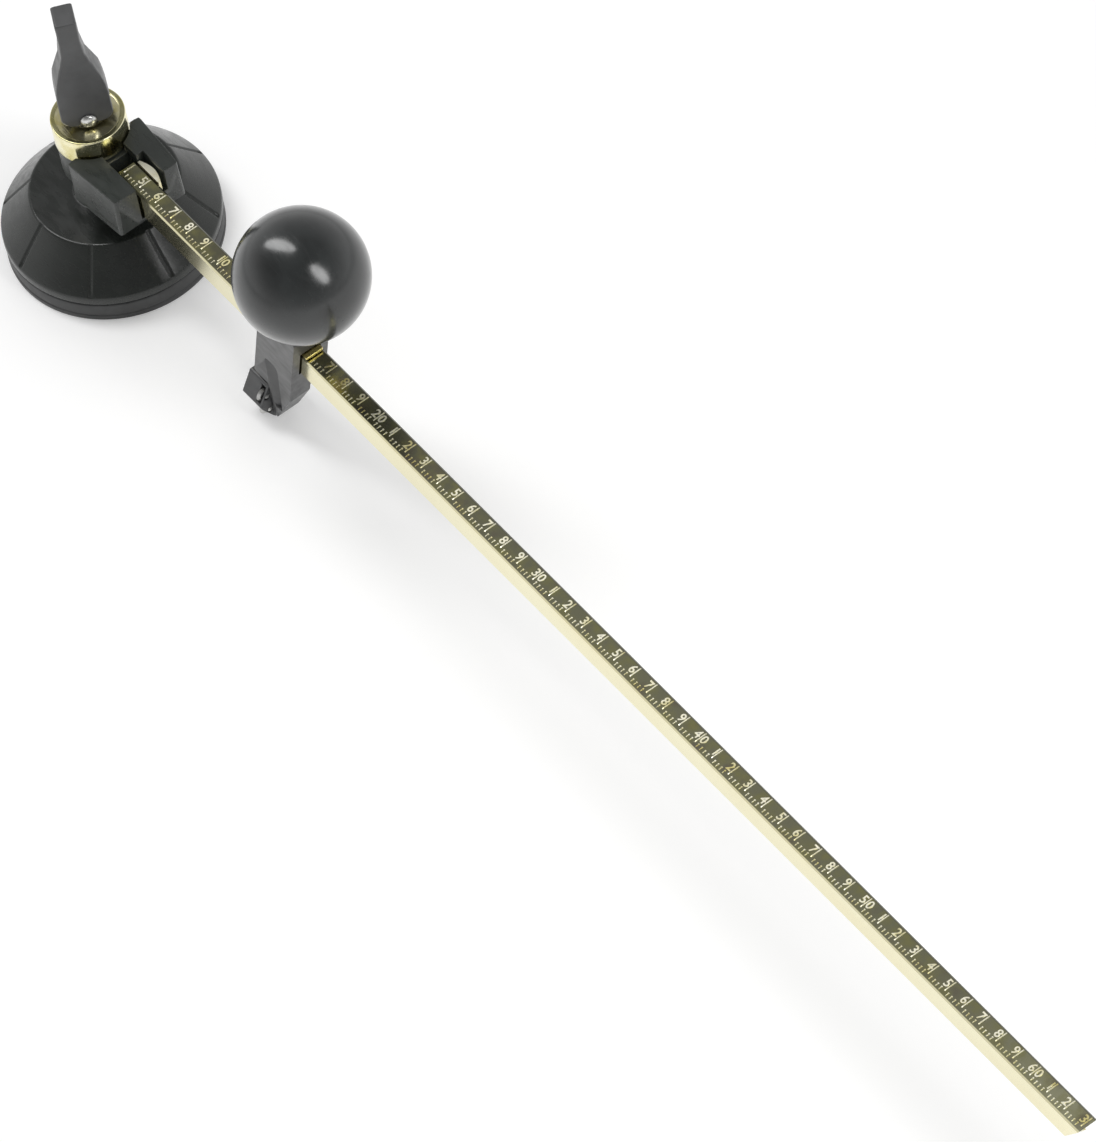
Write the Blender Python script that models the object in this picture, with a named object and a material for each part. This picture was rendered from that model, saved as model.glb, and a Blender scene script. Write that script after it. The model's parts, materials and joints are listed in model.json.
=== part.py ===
"""Circle cutter: a suction base, a swivelling measuring bar and a sliding head with a six-wheel turret.

The origin is the centre of the suction pad's underside, +X runs along the bar and +Z is up.
"""
import math

import bmesh
import bpy
from mathutils import Matrix, Vector

MM = 0.001

# Clearances
SEAT = 0.3 * MM
RUNNING = 0.2 * MM
OVERRUN = 2.0 * MM

# Facets round a full turn
FINE_STEPS = 64
ROUND_STEPS = 48
SMALL_STEPS = 20
TINY_STEPS = 14
FILLET_STEPS = 4
SMOOTH_ANGLE = math.radians(35)
MERGE_DISTANCE = 0.0001 * MM

# Measuring bar
BAR_WIDTH = 4.33 * MM
BAR_HEIGHT = 6.95 * MM
BAR_TOP_Z = 30.68 * MM
BAR_START_X = 11.2 * MM
BAR_END_X = 307.7 * MM
BAR_END_UNDERCUT = 5.4 * MM
BAR_CHAMFER = 0.35 * MM
BAR_CENTRE_Z = BAR_TOP_Z - BAR_HEIGHT / 2
BAR_BOTTOM_Z = BAR_TOP_Z - BAR_HEIGHT

# Suction pad, which is rubber, a little inside the bell's rim
PAD_INSET = 0.12 * MM
PAD_RIM_HEIGHT = 4.5 * MM
PAD_RIM_CHAMFER = 0.5 * MM
PAD_STEP_RISE = 0.7 * MM
PAD_BOSS_RADIUS = 8.6 * MM
PAD_BOSS_HEIGHT = 8.4 * MM
PAD_SHOULDER_RISE = 0.9 * MM
PAD_WEB = 3.4 * MM

# Pull stud, whose plate is held in the pad and whose tongue carries the lever
STUD_RADIUS = 2.4 * MM
STUD_PLATE_RADIUS = 5.8 * MM
STUD_PLATE_THICKNESS = 1.5 * MM
TONGUE_THICKNESS = 2.0 * MM
TONGUE_WIDTH = 3.8 * MM
LIFT_TRAVEL = 3.3 * MM
LIFT_CLEARANCE = 1.0 * MM

# Bell-shaped base housing
BELL_RADIUS = 21.42 * MM
PAD_RADIUS = BELL_RADIUS - PAD_INSET
BELL_RIM_Z = 6.64 * MM
BELL_RIM_WALL = 1.75 * MM
PAD_STEP_INSET = BELL_RIM_WALL + 2 * SEAT
BELL_RIM_CHAMFER = 0.3 * MM
BELL_DISC_RADIUS = 14.69 * MM
BELL_DISC_Z = 14.89 * MM
BELL_DISC_CHAMFER = 0.35 * MM
BOSS_RADIUS = 6.0 * MM
BOSS_SOCKET_DEPTH = 3.0 * MM
GROOVE_COUNT = 8
GROOVE_WIDTH = 0.7 * MM
GROOVE_DEPTH = 0.35 * MM
GROOVE_TURN = math.radians(-2.0)

# Swivel bush, a brass ring on a sleeve
BUSH_RADIUS = 7.26 * MM
BUSH_TOP_Z = 36.47 * MM
BUSH_HEIGHT = 6.08 * MM
BUSH_CHAMFER = 0.35 * MM
BUSH_FOOT_CHAMFER = 0.3 * MM
SLEEVE_RADIUS = 4.2 * MM
WASHER_THICKNESS = 0.5 * MM

# Bar holder
HOLDER_TOP_Z = 32.3 * MM
HOLDER_FLOOR = 0.9 * MM
HOLDER_BACK_X = 4.0 * MM
HOLDER_FRONT_X = 18.1 * MM
HOLDER_TOP_FRONT_WIDTH = 14.9 * MM
HOLDER_TOP_BACK_WIDTH = 17.0 * MM
HOLDER_FOOT_FRONT_WIDTH = 15.4 * MM
HOLDER_FOOT_BACK_WIDTH = 17.6 * MM
HOLDER_CORNER = 0.8 * MM
HUB_RADIUS = 7.0 * MM
HUB_WALL = 1.0 * MM
HOLDER_BOTTOM_Z = BAR_BOTTOM_Z - SEAT - HOLDER_FLOOR
BUSH_BOTTOM_Z = BUSH_TOP_Z - BUSH_HEIGHT
BOSS_TOP_Z = HOLDER_BOTTOM_Z - 2 * SEAT - WASHER_THICKNESS

# Pin and leaf spring that hold the bar in its holder
PIN_RADIUS = 0.9 * MM
PIN_SETBACK = 2.3 * MM
PIN_HEIGHT = 1.7 * MM
PIN_BITE = 2.0 * MM
LEAF_START_X = 11.6 * MM
LEAF_END_X = HOLDER_FRONT_X + 0.4 * MM
LEAF_THICKNESS = 0.5 * MM
LEAF_HEIGHT = 3.4 * MM
LEAF_BOW = 0.9 * MM
LEAF_STEPS = 12

# Cam lever, with its heights counted from the rivet
RIVET_Z = 38.5 * MM
LEVER_YAW = math.radians(-26.0)
LEVER_DEPTH = 5.4 * MM
LEVER_FRONT = 3.0 * MM
LEVER_FLANK_DEPTH = 2.6 * MM
LEVER_HALF_WIDTH = 5.05 * MM
LEVER_FOOT = 1.4 * MM
LEVER_HEIGHT = 28.7 * MM
CAM_CORNER = 2.6 * MM
LEVER_TIP_CORNER = 0.5 * MM
LEVER_SLOT_TOP = 3.3 * MM
LEVER_EDGE_BEVEL = 0.3 * MM
FRONT_OUTLINE_SHARES = ((0.22, 0.99), (0.31, 0.95), (0.40, 0.86), (0.50, 0.71), (0.58, 0.57),
                        (0.67, 0.445), (0.80, 0.40), (0.91, 0.405))
BACK_OUTLINE_SHARES = ((0.20, 0.99), (0.28, 0.965), (0.34, 0.93), (0.39, 0.89), (0.47, 0.72),
                       (0.56, 0.52), (0.70, 0.42), (0.91, 0.415))
LEVER_TIP_SHARE = 0.415
RIVET_RADIUS = 1.0 * MM
RIVET_HEAD_RADIUS = 1.6 * MM
RIVET_HEAD_HEIGHT = 0.9 * MM

# Carriage, in its own frame at the bar's centre line
CARRIAGE_X = 63.9 * MM
CARRIAGE_LENGTH = 11.4 * MM
CARRIAGE_WIDTH = 8.4 * MM
CARRIAGE_RAKE = math.radians(16.5)
CARRIAGE_CORNER = 0.7 * MM
CARRIAGE_ROOF = 6.0 * MM
LEG_BREAK_DROP = 13.7 * MM
TOE_THICKNESS = 0.8 * MM
TOE_REACH = 3.7 * MM
TOE_WIDTH = 4.8 * MM
FAR_STEP_DROP = 11.6 * MM
FAR_WALL_DROP = 7.4 * MM
SCOOP_TOP_DROP = 5.2 * MM
SCOOP_WALL_X = 0.4 * MM
SCOOP_START_X = 4.8 * MM
SCOOP_DEPTH = 2.8 * MM
SCOOP_CORNER = 2.4 * MM
NECK_RADIUS = 4.1 * MM
NECK_HEIGHT = 2.0 * MM

# Pressure plate between the clamp screw and the bar
PLATE_THICKNESS = 0.6 * MM
PLATE_WIDTH = 4.0 * MM
PLATE_BACK_INSET = 1.6 * MM
PLATE_PROUD = 1.5 * MM
PLATE_CORNER = 0.4 * MM

# Ball knob and clamp screw, in a frame at the ball's centre with +Z along the screw
BALL_RADIUS = 13.16 * MM
BALL_X = 74.2 * MM
BALL_Z = 57.4 * MM
BALL_BANDS = 24
BALL_SOCKET_DEPTH = 9.0 * MM
INSERT_RADIUS = 3.6 * MM
INSERT_FLANGE_RADIUS = 4.7 * MM
INSERT_FLANGE_THICKNESS = 0.9 * MM
CLAMP_RADIUS = 2.3 * MM
CLAMP_TIP_RADIUS = 1.0 * MM
CLAMP_TIP_LENGTH = 1.5 * MM
CLAMP_TIP_CLEARANCE = 0.35 * MM
CLAMP_END_GAP = 0.8 * MM

# Turret with its cutting wheels, in a frame on its pivot
WHEEL_COUNT = 6
WHEEL_RADIUS = 1.7 * MM
WHEEL_THICKNESS = 0.9 * MM
WHEEL_FLAT_RADIUS = 1.15 * MM
WHEEL_PITCH_RADIUS = 3.9 * MM
WHEEL_SIDE_PLAY = 0.2 * MM
AXLE_RADIUS = 0.45 * MM
AXLE_BITE = 1.6 * MM
AXLE_INSET = 0.15 * MM
WHEEL_X = 56.85 * MM
WHEEL_CLEARANCE = 0.8 * MM
TURRET_TRAIL = 1.5 * MM
TURRET_CORNER_RADIUS = 5.3 * MM
TURRET_CAP_LENGTH = 4.2 * MM
TURRET_FLANGE_THICKNESS = 0.5 * MM
TURRET_FILLET = 0.7 * MM
TURRET_RECESS_RADIUS = 2.75 * MM
TURRET_RECESS_DEPTH = 2.2 * MM
WHEEL_REACH = WHEEL_PITCH_RADIUS + WHEEL_RADIUS
TURRET_Z = WHEEL_REACH + WHEEL_CLEARANCE
SLOT_HALF = WHEEL_THICKNESS / 2 + WHEEL_SIDE_PLAY
TURRET_BACK = -SLOT_HALF - TURRET_CAP_LENGTH
TURRET_FRONT = SLOT_HALF + TURRET_FLANGE_THICKNESS
CHEEK_X = WHEEL_X + TURRET_FRONT + SEAT
PIVOT_RADIUS = 1.2 * MM
PIVOT_HEAD_RADIUS = 2.3 * MM
PIVOT_HEAD_THICKNESS = 1.4 * MM
PIVOT_BITE = 1.4 * MM
PIVOT_SLOT_WIDTH = 0.6 * MM
PIVOT_SLOT_DEPTH = 0.6 * MM
SPRING_WASHER_RADIUS = 2.3 * MM
SPRING_WASHER_THICKNESS = 0.4 * MM


def clear_scene():
    """Remove the scene's objects, so the script gives the same part wherever it runs."""
    for old in list(bpy.data.objects):
        bpy.data.objects.remove(old, do_unlink=True)


def make_material(name, colour, roughness, metallic):
    """Return a Principled material."""
    material = bpy.data.materials.new(name)
    material.use_nodes = True
    shader = material.node_tree.nodes["Principled BSDF"]
    shader.inputs["Base Color"].default_value = (*colour, 1.0)
    shader.inputs["Roughness"].default_value = roughness
    shader.inputs["Metallic"].default_value = metallic
    return material


def make_object(name, mesh_data, material=None):
    """Turn a bmesh into a linked object whose faces point outwards."""
    bmesh.ops.remove_doubles(mesh_data, verts=mesh_data.verts, dist=MERGE_DISTANCE)
    bmesh.ops.recalc_face_normals(mesh_data, faces=mesh_data.faces)
    mesh = bpy.data.meshes.new(name)
    mesh_data.to_mesh(mesh)
    mesh_data.free()
    obj = bpy.data.objects.new(name, mesh)
    bpy.context.scene.collection.objects.link(obj)
    if material:
        mesh.materials.append(material)
    return obj


def smooth(obj):
    """Shade a round piece smooth and keep its real edges sharp."""
    obj.data.shade_smooth()
    obj.data.set_sharp_from_angle(angle=SMOOTH_ANGLE)
    return obj


def place(obj, parent=None, location=(0, 0, 0), rotation=(0, 0, 0)):
    """Put an object at a place in its parent's frame."""
    obj.parent = parent
    obj.location = location
    obj.rotation_euler = rotation
    return obj


def make_pivot(name, location, parent=None, rotation=(0, 0, 0)):
    """Return an empty that marks a joint's axis."""
    empty = bpy.data.objects.new(name, None)
    bpy.context.scene.collection.objects.link(empty)
    return place(empty, parent, location, rotation)


def revolve(name, profile, steps, material=None):
    """Turn a profile of (radius, height) about Z; one that doesn't end on the axis closes on itself."""
    shape = bmesh.new()
    rings = []
    for radius, height in profile:
        if radius == 0:
            rings.append([shape.verts.new((0, 0, height))])
            continue
        turns = [2 * math.pi * step / steps for step in range(steps)]
        rings.append([shape.verts.new((radius * math.cos(turn), radius * math.sin(turn), height))
                      for turn in turns])
    pairs = list(zip(rings, rings[1:]))
    if profile[0][0] > 0 and profile[-1][0] > 0:
        pairs.append((rings[-1], rings[0]))
    for lower, upper in pairs:
        for step in range(steps):
            following = (step + 1) % steps
            corners = [lower[step % len(lower)], lower[following % len(lower)],
                       upper[following % len(upper)], upper[step % len(upper)]]
            corners = list(dict.fromkeys(corners))
            if len(corners) > 2:
                shape.faces.new(corners)
    return smooth(make_object(name, shape, material))


def fillet(outline, radius, steps=FILLET_STEPS):
    """Round each corner of a closed outline with an arc of the radius, or less on a short side."""
    points = [Vector(point) for point in outline]
    rounded = []
    for index, corner in enumerate(points):
        back = points[index - 1] - corner
        ahead = points[(index + 1) % len(points)] - corner
        half = back.angle(ahead) / 2
        run = min(radius / math.tan(half), 0.45 * back.length, 0.45 * ahead.length)
        start = corner + back.normalized() * run
        end = corner + ahead.normalized() * run
        for step in range(steps + 1):
            share = step / steps
            rounded.append(start.lerp(corner, share).lerp(corner.lerp(end, share), share))
    return rounded


def arc(centre, radius, start, end, steps):
    """Return points on an arc between two angles in degrees."""
    angles = [math.radians(start + (end - start) * step / steps) for step in range(steps + 1)]
    return [(centre[0] + radius * math.cos(angle), centre[1] + radius * math.sin(angle))
            for angle in angles]


def loft(name, sections, material=None):
    """Join equal rings of points into one closed solid with flat ends."""
    shape = bmesh.new()
    rings = [[shape.verts.new(point) for point in section] for section in sections]
    for lower, upper in zip(rings, rings[1:]):
        for index in range(len(lower)):
            following = (index + 1) % len(lower)
            shape.faces.new((lower[index], lower[following], upper[following], upper[index]))
    shape.faces.new(rings[0])
    shape.faces.new(rings[-1])
    return make_object(name, shape, material)


def prism(name, outline, axis, low, high, material=None):
    """Extrude a flat outline along an axis: X takes (y, z), Y takes (x, z) and Z takes (x, y)."""
    order = {"X": lambda point, level: (level, point[0], point[1]),
             "Y": lambda point, level: (point[0], level, point[1]),
             "Z": lambda point, level: (point[0], point[1], level)}[axis]
    sections = [[order(point, level) for point in outline] for level in (low, high)]
    return loft(name, sections, material)


def box(name, low, high, material=None):
    """Return a box between two corners."""
    outline = ((low[0], low[1]), (high[0], low[1]), (high[0], high[1]), (low[0], high[1]))
    return prism(name, outline, "Z", low[2], high[2], material)


def rod(name, radius, start, end, steps=SMALL_STEPS):
    """Return a plain cylinder between two points."""
    span = Vector(end) - Vector(start)
    shape = bmesh.new()
    bmesh.ops.create_cone(shape, cap_ends=True, segments=steps, radius1=radius, radius2=radius,
                          depth=span.length)
    turn = span.to_track_quat("Z", "Y").to_matrix().to_4x4()
    middle = (Vector(start) + Vector(end)) / 2
    bmesh.ops.transform(shape, matrix=Matrix.Translation(middle) @ turn, verts=shape.verts)
    return make_object(name, shape)


def combine(target, tool, operation="DIFFERENCE"):
    """Cut a tool from a piece, or join or intersect them, and delete the tool."""
    modifier = target.modifiers.new(operation, "BOOLEAN")
    modifier.operation = operation
    modifier.solver = "EXACT"
    modifier.object = tool
    bpy.context.view_layer.update()
    depsgraph = bpy.context.evaluated_depsgraph_get()
    shaped = bpy.data.meshes.new_from_object(target.evaluated_get(depsgraph))
    target.modifiers.remove(modifier)
    shaped.name = target.name
    target.data = shaped
    bpy.data.objects.remove(tool, do_unlink=True)
    return target


def make_base_housing(material):
    """The moulded bell with its boss, its hollow for the pad and its shallow radial grooves."""
    slope = (BELL_RADIUS - BELL_DISC_RADIUS) / (BELL_DISC_Z - BELL_RIM_Z)
    hollow_z = PAD_BOSS_HEIGHT + LIFT_TRAVEL + LIFT_CLEARANCE
    skirt_z = PAD_RIM_HEIGHT + SEAT
    hollow_radius = BELL_RADIUS - BELL_RIM_WALL - (hollow_z - BELL_RIM_Z) * slope
    profile = [
        (BELL_RADIUS - BELL_RIM_WALL, skirt_z),
        (BELL_RADIUS - BELL_RIM_CHAMFER, skirt_z),
        (BELL_RADIUS, skirt_z + BELL_RIM_CHAMFER),
        (BELL_RADIUS, BELL_RIM_Z),
        (BELL_DISC_RADIUS + BELL_DISC_CHAMFER * slope, BELL_DISC_Z - BELL_DISC_CHAMFER),
        (BELL_DISC_RADIUS - BELL_DISC_CHAMFER, BELL_DISC_Z),
        (BOSS_RADIUS, BELL_DISC_Z),
        (BOSS_RADIUS, BOSS_TOP_Z),
        (SLEEVE_RADIUS + SEAT, BOSS_TOP_Z),
        (SLEEVE_RADIUS + SEAT, BOSS_TOP_Z - BOSS_SOCKET_DEPTH),
        (STUD_RADIUS + SEAT, BOSS_TOP_Z - BOSS_SOCKET_DEPTH),
        (STUD_RADIUS + SEAT, hollow_z),
        (hollow_radius, hollow_z),
        (BELL_RADIUS - BELL_RIM_WALL, BELL_RIM_Z),
    ]
    housing = revolve("base_housing", profile, FINE_STEPS, material)
    for index in range(GROOVE_COUNT):
        combine(housing, make_groove_cutter(index))
    return smooth(housing)


def make_groove_cutter(index):
    """A bar that lies along the cone and cuts one groove from the rim to the disc's edge."""
    rise = BELL_DISC_Z - BELL_RIM_Z
    fall = BELL_RADIUS - BELL_DISC_RADIUS
    slant = math.hypot(rise, fall)
    out = Vector((rise / slant, 0, fall / slant))
    along = Vector((fall / slant, 0, -rise / slant))
    side = Vector((0, GROOVE_WIDTH / 2, 0))
    start = Vector((BELL_DISC_RADIUS, 0, BELL_DISC_Z)) - along * OVERRUN
    end = Vector((BELL_RADIUS, 0, BELL_RIM_Z)) + along * OVERRUN
    sections = [[point - out * GROOVE_DEPTH, point + side, point + side + out * OVERRUN,
                 point - side + out * OVERRUN, point - side] for point in (start, end)]
    cutter = loft("groove_cutter", sections)
    turn = GROOVE_TURN + 2 * math.pi * index / GROOVE_COUNT
    return place(cutter, rotation=(0, 0, turn))


def make_suction_pad(material):
    """The rubber cup as it lies on the glass: a flat face and a boss that grips the stud's plate."""
    pocket_radius = STUD_PLATE_RADIUS + SEAT
    pocket_top = PAD_WEB + STUD_PLATE_THICKNESS + 2 * SEAT
    step_radius = PAD_RADIUS - PAD_STEP_INSET
    profile = [
        (0, 0),
        (PAD_RADIUS - PAD_RIM_CHAMFER, 0),
        (PAD_RADIUS, PAD_RIM_CHAMFER),
        (PAD_RADIUS, PAD_RIM_HEIGHT - PAD_RIM_CHAMFER),
        (PAD_RADIUS - PAD_RIM_CHAMFER, PAD_RIM_HEIGHT),
        (step_radius, PAD_RIM_HEIGHT),
        (step_radius - PAD_STEP_RISE, PAD_RIM_HEIGHT + PAD_STEP_RISE),
        (PAD_BOSS_RADIUS + PAD_SHOULDER_RISE, PAD_RIM_HEIGHT + PAD_STEP_RISE + PAD_SHOULDER_RISE),
        (PAD_BOSS_RADIUS, PAD_BOSS_HEIGHT - PAD_RIM_CHAMFER),
        (PAD_BOSS_RADIUS - PAD_RIM_CHAMFER, PAD_BOSS_HEIGHT),
        (STUD_RADIUS + SEAT, PAD_BOSS_HEIGHT),
        (STUD_RADIUS + SEAT, pocket_top),
        (pocket_radius, pocket_top),
        (pocket_radius, PAD_WEB),
        (0, PAD_WEB),
    ]
    return revolve("suction_pad", profile, FINE_STEPS, material)


def make_pad_stud(material, pivot):
    """The pull stud, from its plate in the pad up to the eye that carries the lever."""
    plate_z = PAD_WEB + SEAT
    neck_z = RIVET_Z - LEVER_HALF_WIDTH - SEAT
    profile = [(0, plate_z), (STUD_PLATE_RADIUS, plate_z),
               (STUD_PLATE_RADIUS, plate_z + STUD_PLATE_THICKNESS),
               (STUD_RADIUS, plate_z + STUD_PLATE_THICKNESS),
               (STUD_RADIUS, neck_z), (0, neck_z)]
    stud = revolve("pad_stud", profile, ROUND_STEPS, material)
    half_width = TONGUE_WIDTH / 2
    outline = [(-half_width, neck_z - OVERRUN), (half_width, neck_z - OVERRUN)]
    outline += arc((0, RIVET_Z), half_width, 0, 180, TINY_STEPS)
    tongue = prism("tongue", outline, "X", -TONGUE_THICKNESS / 2, TONGUE_THICKNESS / 2)
    eye = rod("eye", RIVET_RADIUS + RUNNING, (-OVERRUN, 0, RIVET_Z), (OVERRUN, 0, RIVET_Z))
    combine(stud, place(tongue, rotation=(0, 0, LEVER_YAW)), "UNION")
    combine(stud, place(eye, rotation=(0, 0, LEVER_YAW)))
    return place(smooth(stud), pivot)


def make_swivel_bush(material):
    """The brass ring that the lever's cam bears on, with the sleeve that the holder swings on."""
    foot_z = BOSS_TOP_Z - BOSS_SOCKET_DEPTH + SEAT
    profile = [
        (STUD_RADIUS + SEAT, foot_z),
        (SLEEVE_RADIUS, foot_z),
        (SLEEVE_RADIUS, BUSH_BOTTOM_Z),
        (BUSH_RADIUS - BUSH_FOOT_CHAMFER, BUSH_BOTTOM_Z),
        (BUSH_RADIUS, BUSH_BOTTOM_Z + BUSH_FOOT_CHAMFER),
        (BUSH_RADIUS, BUSH_TOP_Z - BUSH_CHAMFER),
        (BUSH_RADIUS - BUSH_CHAMFER, BUSH_TOP_Z),
        (STUD_RADIUS + SEAT, BUSH_TOP_Z),
    ]
    return revolve("swivel_bush", profile, ROUND_STEPS, material)


def make_washer(name, inner, outer, thickness, steps, material):
    """A flat washer whose underside is on its own origin."""
    profile = [(inner, 0), (outer, 0), (outer, thickness), (inner, thickness)]
    return revolve(name, profile, steps, material)


def make_bar_holder(material, pivot):
    """The forked block that swings on the sleeve and grips the bar between its cheeks."""
    def corners(front_half, back_half):
        outline = [(HOLDER_FRONT_X, -front_half), (HOLDER_FRONT_X, front_half),
                   (HOLDER_BACK_X, back_half), (HOLDER_BACK_X, -back_half)]
        return fillet(outline, HOLDER_CORNER)

    foot = corners(HOLDER_FOOT_FRONT_WIDTH / 2, HOLDER_FOOT_BACK_WIDTH / 2)
    crown = corners(HOLDER_TOP_FRONT_WIDTH / 2, HOLDER_TOP_BACK_WIDTH / 2)
    sections = [[(x, y, HOLDER_BOTTOM_Z) for x, y in foot], [(x, y, HOLDER_TOP_Z) for x, y in crown]]
    holder = loft("bar_holder", sections, material)
    hub_top = BUSH_BOTTOM_Z - SEAT
    hub = rod("hub", HUB_RADIUS, (0, 0, HOLDER_BOTTOM_Z), (0, 0, hub_top), ROUND_STEPS)
    combine(holder, hub, "UNION")
    above = HOLDER_TOP_Z + OVERRUN
    combine(holder, rod("ring_room", BUSH_RADIUS + SEAT, (0, 0, hub_top), (0, 0, above), ROUND_STEPS))
    below = HOLDER_BOTTOM_Z - OVERRUN
    combine(holder, rod("bore", SLEEVE_RADIUS + SEAT, (0, 0, below), (0, 0, above), ROUND_STEPS))
    channel_half = BAR_WIDTH / 2 + SEAT
    front = HOLDER_FRONT_X + OVERRUN
    combine(holder, box("channel", (HUB_RADIUS + HUB_WALL, -channel_half, BAR_BOTTOM_Z - SEAT),
                        (front, channel_half, above)))
    combine(holder, box("channel_mouth", (0, -channel_half, hub_top), (BAR_START_X, channel_half, above)))
    pocket_y = channel_half + LEAF_BOW + LEAF_THICKNESS + SEAT
    combine(holder, box("leaf_pocket", (LEAF_START_X - SEAT, 0, BAR_TOP_Z - LEAF_HEIGHT - SEAT),
                        (front, pocket_y, above)))
    combine(holder, make_pin_cutter())
    return place(holder, pivot)


def make_pin_cutter():
    """The blind hole for the bar's pin, bored from the holder's +Y side."""
    pin_x = BAR_START_X + PIN_SETBACK
    pin_z = BAR_BOTTOM_Z + PIN_HEIGHT
    inner_y = -BAR_WIDTH / 2 - PIN_BITE - SEAT
    return rod("pin_hole", PIN_RADIUS + RUNNING, (pin_x, inner_y, pin_z),
               (pin_x, HOLDER_FOOT_BACK_WIDTH, pin_z))


def make_measuring_bar(material, pivot):
    """The long rectangular bar with chamfered edges and a cut-back far end."""
    outline = ((BAR_START_X, BAR_BOTTOM_Z), (BAR_END_X - BAR_END_UNDERCUT, BAR_BOTTOM_Z),
               (BAR_END_X, BAR_TOP_Z), (BAR_START_X, BAR_TOP_Z))
    bar = prism("measuring_bar", outline, "Y", -BAR_WIDTH / 2, BAR_WIDTH / 2, material)
    shape = bmesh.new()
    shape.from_mesh(bar.data)
    long_edges = [edge for edge in shape.edges
                  if abs(edge.verts[0].co.x - edge.verts[1].co.x) > BAR_HEIGHT * 2]
    bmesh.ops.bevel(shape, geom=long_edges, offset=BAR_CHAMFER, segments=1, affect="EDGES")
    shape.to_mesh(bar.data)
    shape.free()
    combine(bar, make_pin_cutter())
    return place(bar, pivot)


def make_bar_pin(material, pivot):
    """The cross pin that fixes the bar in its holder, flush in the +Y cheek."""
    pin_x = BAR_START_X + PIN_SETBACK
    pin_z = BAR_BOTTOM_Z + PIN_HEIGHT
    inner_y = -BAR_WIDTH / 2 - PIN_BITE
    pin = rod("bar_pin", PIN_RADIUS, (pin_x, inner_y, pin_z), (pin_x, HOLDER_TOP_FRONT_WIDTH / 2, pin_z))
    pin.data.materials.append(material)
    return place(smooth(pin), pivot)


def make_bar_spring(material, pivot):
    """The shoe that presses the bar against the holder's -Y cheek, flat inside and bowed outside."""
    inner_y = BAR_WIDTH / 2 + RUNNING
    outline = [(LEAF_END_X, inner_y), (LEAF_START_X, inner_y)]
    for step in range(LEAF_STEPS + 1):
        share = step / LEAF_STEPS
        x = LEAF_START_X + (LEAF_END_X - LEAF_START_X) * share
        outline.append((x, inner_y + LEAF_THICKNESS + LEAF_BOW * math.sin(math.pi * share)))
    leaf = prism("bar_spring", outline, "Z", BAR_TOP_Z - LEAF_HEIGHT, BAR_TOP_Z, material)
    return place(smooth(leaf), pivot)


def lever_outline(shares):
    """The lever's outline in (side, height), from its rounded cam foot to its narrow tip."""
    centre_side = LEVER_HALF_WIDTH - CAM_CORNER
    centre_height = CAM_CORNER - LEVER_FOOT
    right = arc((centre_side, centre_height), CAM_CORNER, -90, 0, 2 * FILLET_STEPS)
    right += [(width * LEVER_HALF_WIDTH, height * LEVER_HEIGHT) for height, width in shares]
    tip_half = LEVER_TIP_SHARE * LEVER_HALF_WIDTH
    tip_centre = (tip_half - LEVER_TIP_CORNER, LEVER_HEIGHT - LEVER_TIP_CORNER)
    right += arc(tip_centre, LEVER_TIP_CORNER, 0, 90, FILLET_STEPS)
    return right + [(-side, height) for side, height in reversed(right)]


def shrink(outline, inset):
    """Draw an outline in by an inset, for a bevelled edge."""
    middle = (LEVER_HEIGHT - LEVER_FOOT) / 2
    return [(side - math.copysign(inset, side), height - math.copysign(inset, height - middle))
            for side, height in outline]


def make_cam_lever(material, pivot):
    """The suction lever: a cam foot in two cheeks, scooped flanks and a narrow grip."""
    front_outline = lever_outline(FRONT_OUTLINE_SHARES)
    back_outline = lever_outline(BACK_OUTLINE_SHARES)
    back = LEVER_FRONT - LEVER_DEPTH
    levels = [
        (back, shrink(back_outline, LEVER_EDGE_BEVEL)),
        (back + LEVER_EDGE_BEVEL, back_outline),
        (LEVER_FRONT - LEVER_FLANK_DEPTH, back_outline),
        (LEVER_FRONT - LEVER_EDGE_BEVEL, front_outline),
        (LEVER_FRONT, shrink(front_outline, LEVER_EDGE_BEVEL)),
    ]
    sections = [[(depth, side, height) for side, height in outline] for depth, outline in levels]
    lever = loft("cam_lever", sections, material)
    slot_half = TONGUE_THICKNESS / 2 + SEAT
    reach = LEVER_HALF_WIDTH + OVERRUN
    combine(lever, box("tongue_slot", (-slot_half, -reach, -reach), (slot_half, reach, LEVER_SLOT_TOP)))
    combine(lever, rod("rivet_hole", RIVET_RADIUS + RUNNING, (-LEVER_DEPTH, 0, 0), (LEVER_DEPTH, 0, 0)))
    return place(smooth(lever), pivot)


def make_lever_rivet(material, pivot):
    """The rivet that the lever flips on, with a low domed head on each side."""
    back = LEVER_FRONT - LEVER_DEPTH
    front_face = LEVER_FRONT + RUNNING
    back_face = back - RUNNING
    dome_steps = 4
    profile = [(0, back_face - RIVET_HEAD_HEIGHT)]
    for step in range(1, dome_steps + 1):
        angle = math.pi / 2 * step / dome_steps
        height = RIVET_HEAD_HEIGHT * math.cos(angle)
        profile.append((RIVET_HEAD_RADIUS * math.sin(angle), back_face - height))
    profile += [(RIVET_RADIUS, back_face), (RIVET_RADIUS, front_face)]
    for step in range(dome_steps):
        angle = math.pi / 2 * step / dome_steps
        height = RIVET_HEAD_HEIGHT * math.sin(angle)
        profile.append((RIVET_HEAD_RADIUS * math.cos(angle), front_face + height))
    profile.append((0, front_face + RIVET_HEAD_HEIGHT))
    rivet = revolve("lever_rivet", profile, SMALL_STEPS, material)
    return place(rivet, pivot, rotation=(0, math.pi / 2, 0))


def rake(height):
    """How far the head's centre line has moved along the bar at a height above the bar's centre."""
    return height * math.tan(CARRIAGE_RAKE)


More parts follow.
